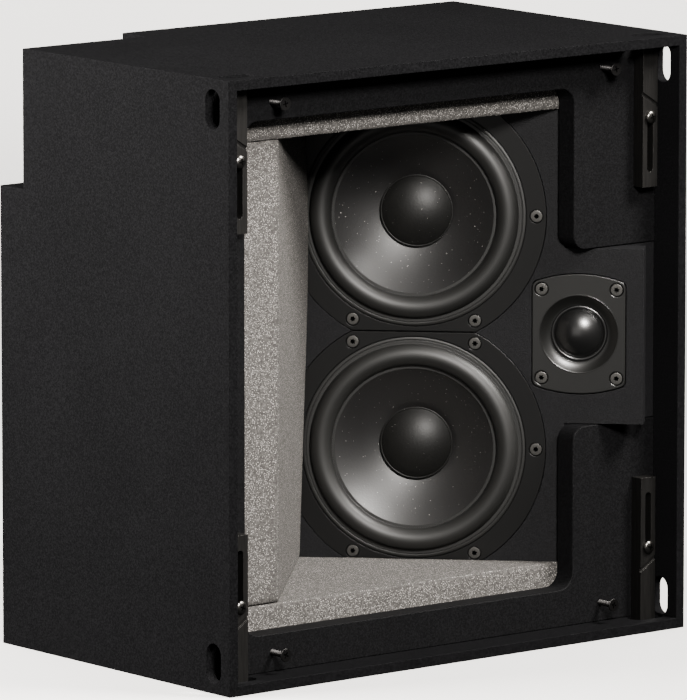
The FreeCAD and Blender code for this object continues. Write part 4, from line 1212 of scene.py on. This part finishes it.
class SPEAKER_OT_inner_works(bpy.types.Operator):
    """Finish the motors, coils, crossover and terminal plate"""
    bl_idname = "speaker.inner_works"
    bl_label = "Inner works"

    def execute(self, context):
        finishes = {
            # Amber film under copper wire: a warm brown with a soft sheen
            "former": plain("Polyimide former with copper winding", "#8a5a2c", roughness=0.4),
            # Woven and stiffened: a dull straw yellow
            "spider": plain("Resin-dipped cotton", "#b98a3c", roughness=0.9),
            # Bright plating: a pale metal with a blurred shine
            "steel": plain("Zinc-plated steel", "#a6a5a0", roughness=0.35, metallic=1.0),
            # Ground ceramic: a dull blue-black
            "ferrite": plain("Sintered ferrite", "#26262a", roughness=0.7),
            # Moulded: an even black with a mild gloss
            "plate": plain("Moulded ABS", "#1b1b1b", roughness=0.45),
            # Oxidised: a dark metal
            "screw": plain("Blackened steel", "#3a3a3a", roughness=0.4, metallic=1.0),
            # Lacquered laminate: a deep green
            "board": plain("Glass-epoxy board", "#1f4a2e", roughness=0.5),
            # Clear lacquer over wire: a shiny orange metal
            "copper": plain("Enamelled copper", "#b06a35", roughness=0.35, metallic=1.0),
            # Wrapped film: a smooth red-brown
            "film": plain("Polyester film capacitor", "#6e2a1e", roughness=0.4),
        }
        nodes = {
            "terminal_plate": "plate", "terminal_plate_screws": "screw", "crossover_board": "board",
            "crossover_standoffs": "plate", "crossover_coils": "copper", "crossover_capacitors": "film",
            "tweeter_voice_coil": "former",
        }
        for driver in (*WOOFERS, "tweeter"):
            nodes[f"{driver}_top_plate"] = "steel"
            nodes[f"{driver}_yoke"] = "steel"
            nodes[f"{driver}_magnet"] = "ferrite"
        for driver in WOOFERS:
            nodes[f"{driver}_voice_coil"] = "former"
            nodes[f"{driver}_spider"] = "spider"
        for node, finish in nodes.items():
            finish_node(node, finishes[finish])
        return {"FINISHED"}


# Lights round the box: name, direction, distance and side in metres, power in watts, spread in degrees
LIGHTS = (
    ("Key", (0.38, -0.55, 0.74), 2.0, 0.6, 15.5, 60),
    ("Front", (-0.35, -0.80, 0.48), 1.8, 0.32, 8.3, 60),
    ("Card", (-0.767, -0.622, 0.03), 1.6, 0.8, 1.9, 180),
    ("Side", (-0.85, 0.30, 0.42), 1.1, 0.5, 54, 180),
    ("Rear", (0.15, 0.95, 0.0), 2.0, 0.38, 9, 60),
    ("Right", (0.92, 0.35, 0.0), 1.8, 0.38, 8, 60),
)
# Light over the floor behind the box
OVERHEAD = ("Overhead", (0, 0, 1), 2.4, 3.0, 140, 105)
OVERHEAD_TARGET = Vector((2.3, 2.8, 0.0))


class SPEAKER_OT_stage(bpy.types.Operator):
    """Lay the floor, hang the lights and set the camera"""
    bl_idname = "speaker.stage"
    bl_label = "Stage"

    def execute(self, context):
        ambient = 0.04
        reach = 20.0
        floor_mesh = bpy.data.meshes.new("floor")
        corners = [(-reach, -reach, 0), (reach, -reach, 0), (reach, reach, 0), (-reach, reach, 0)]
        floor_mesh.from_pydata(corners, [], [(0, 1, 2, 3)])
        floor_mesh.materials.append(self.floor_finish())
        floor = shown("studio_floor", floor_mesh)
        # The floor throws no light back, so the black finishes stay as dark as in a dark room
        floor.visible_diffuse = False
        floor.visible_glossy = False
        target = (CAD_BOX[0] + CAD_BOX[1]) / 2
        for light in LIGHTS:
            self.softbox(target, *light)
        self.softbox(OVERHEAD_TARGET, *OVERHEAD)
        world = bpy.data.worlds.new("Studio")
        world.use_nodes = True
        surroundings = world.node_tree.nodes["Background"].inputs
        surroundings["Color"].default_value = (1, 1, 1, 1)
        surroundings["Strength"].default_value = ambient
        context.scene.world = world
        self.camera(context)
        return {"FINISHED"}

    def floor_finish(self):
        """Pale floor that glows a little, so that it stays even away from the lights."""
        finish, tree, place = new_finish("Studio floor")
        tone = (*colours().floor, 1)
        close_finish(
            tree, Base_Color=tone, Roughness=0.9, Specular_IOR_Level=0.0, Emission_Color=tone,
            Emission_Strength=0.85,
        )
        return finish

    def softbox(self, target, name, direction, distance, side, power, spread):
        """Square soft light that looks at a target, narrowed by a grid to its spread."""
        out = Vector(direction)
        light = bpy.data.lights.new(name, "AREA")
        light.size = side
        light.energy = power
        light.spread = math.radians(spread)
        light.color = colours().lamp
        lamp = bpy.data.objects.new(name, light)
        lamp.location = target + out.normalized() * distance
        lamp.rotation_euler = out.to_track_quat("Z", "Y").to_euler()
        bpy.context.scene.collection.objects.link(lamp)

    def camera(self, context):
        """Long lens at the viewing angle of the photograph."""
        target = Vector((-0.01874, -0.0215, 0.1970))
        distance = 5.9463
        yaw, pitch = math.radians(39.046), math.radians(8.998)
        ahead = Vector((math.sin(yaw) * math.cos(pitch), math.cos(yaw) * math.cos(pitch), -math.sin(pitch)))
        lens = bpy.data.cameras.new("Camera")
        lens.lens = 462.95
        lens.sensor_fit = "VERTICAL"
        lens.sensor_height = 36.0
        lens.clip_end = 100.0
        camera = bpy.data.objects.new("Camera", lens)
        camera.location = target - ahead * distance
        camera.rotation_euler = (-ahead).to_track_quat("Z", "Y").to_euler()
        bpy.context.scene.collection.objects.link(camera)
        context.scene.camera = camera


class SPEAKER_PT_panel(bpy.types.Panel):
    """Lists the steps that finish the speaker"""
    bl_label = "Ceiling speaker"
    bl_idname = "SPEAKER_PT_panel"
    bl_space_type = "VIEW_3D"
    bl_region_type = "UI"
    bl_category = "Speaker"

    def draw(self, context):
        """Show a button for each step."""
        for operator in OPERATORS:
            self.layout.operator(operator.bl_idname)


OPERATORS = (
    SPEAKER_OT_cabinet,
    SPEAKER_OT_front_panel,
    SPEAKER_OT_baffle,
    SPEAKER_OT_foam,
    SPEAKER_OT_woofers,
    SPEAKER_OT_tweeter,
    SPEAKER_OT_clamp_bars,
    SPEAKER_OT_screws,
    SPEAKER_OT_terminals,
    SPEAKER_OT_inner_works,
    SPEAKER_OT_stage,
)
CLASSES = (SpeakerSizes, SpeakerColours, *OPERATORS, SPEAKER_PT_panel)


def register():
    """Register the classes and hang the sizes and colours on the scene."""
    for entry in CLASSES:
        bpy.utils.register_class(entry)
    bpy.types.Scene.speaker_sizes = PointerProperty(type=SpeakerSizes)
    bpy.types.Scene.speaker_colours = PointerProperty(type=SpeakerColours)


def unregister():
    """Undo what register did."""
    del bpy.types.Scene.speaker_colours
    del bpy.types.Scene.speaker_sizes
    for entry in reversed(CLASSES):
        bpy.utils.unregister_class(entry)


def main():
    """Register the steps and finish the speaker step by step."""
    register()
    for operator in OPERATORS:
        group, name = operator.bl_idname.split(".")
        getattr(getattr(bpy.ops, group), name)()


if __name__ == "__main__":
    main()
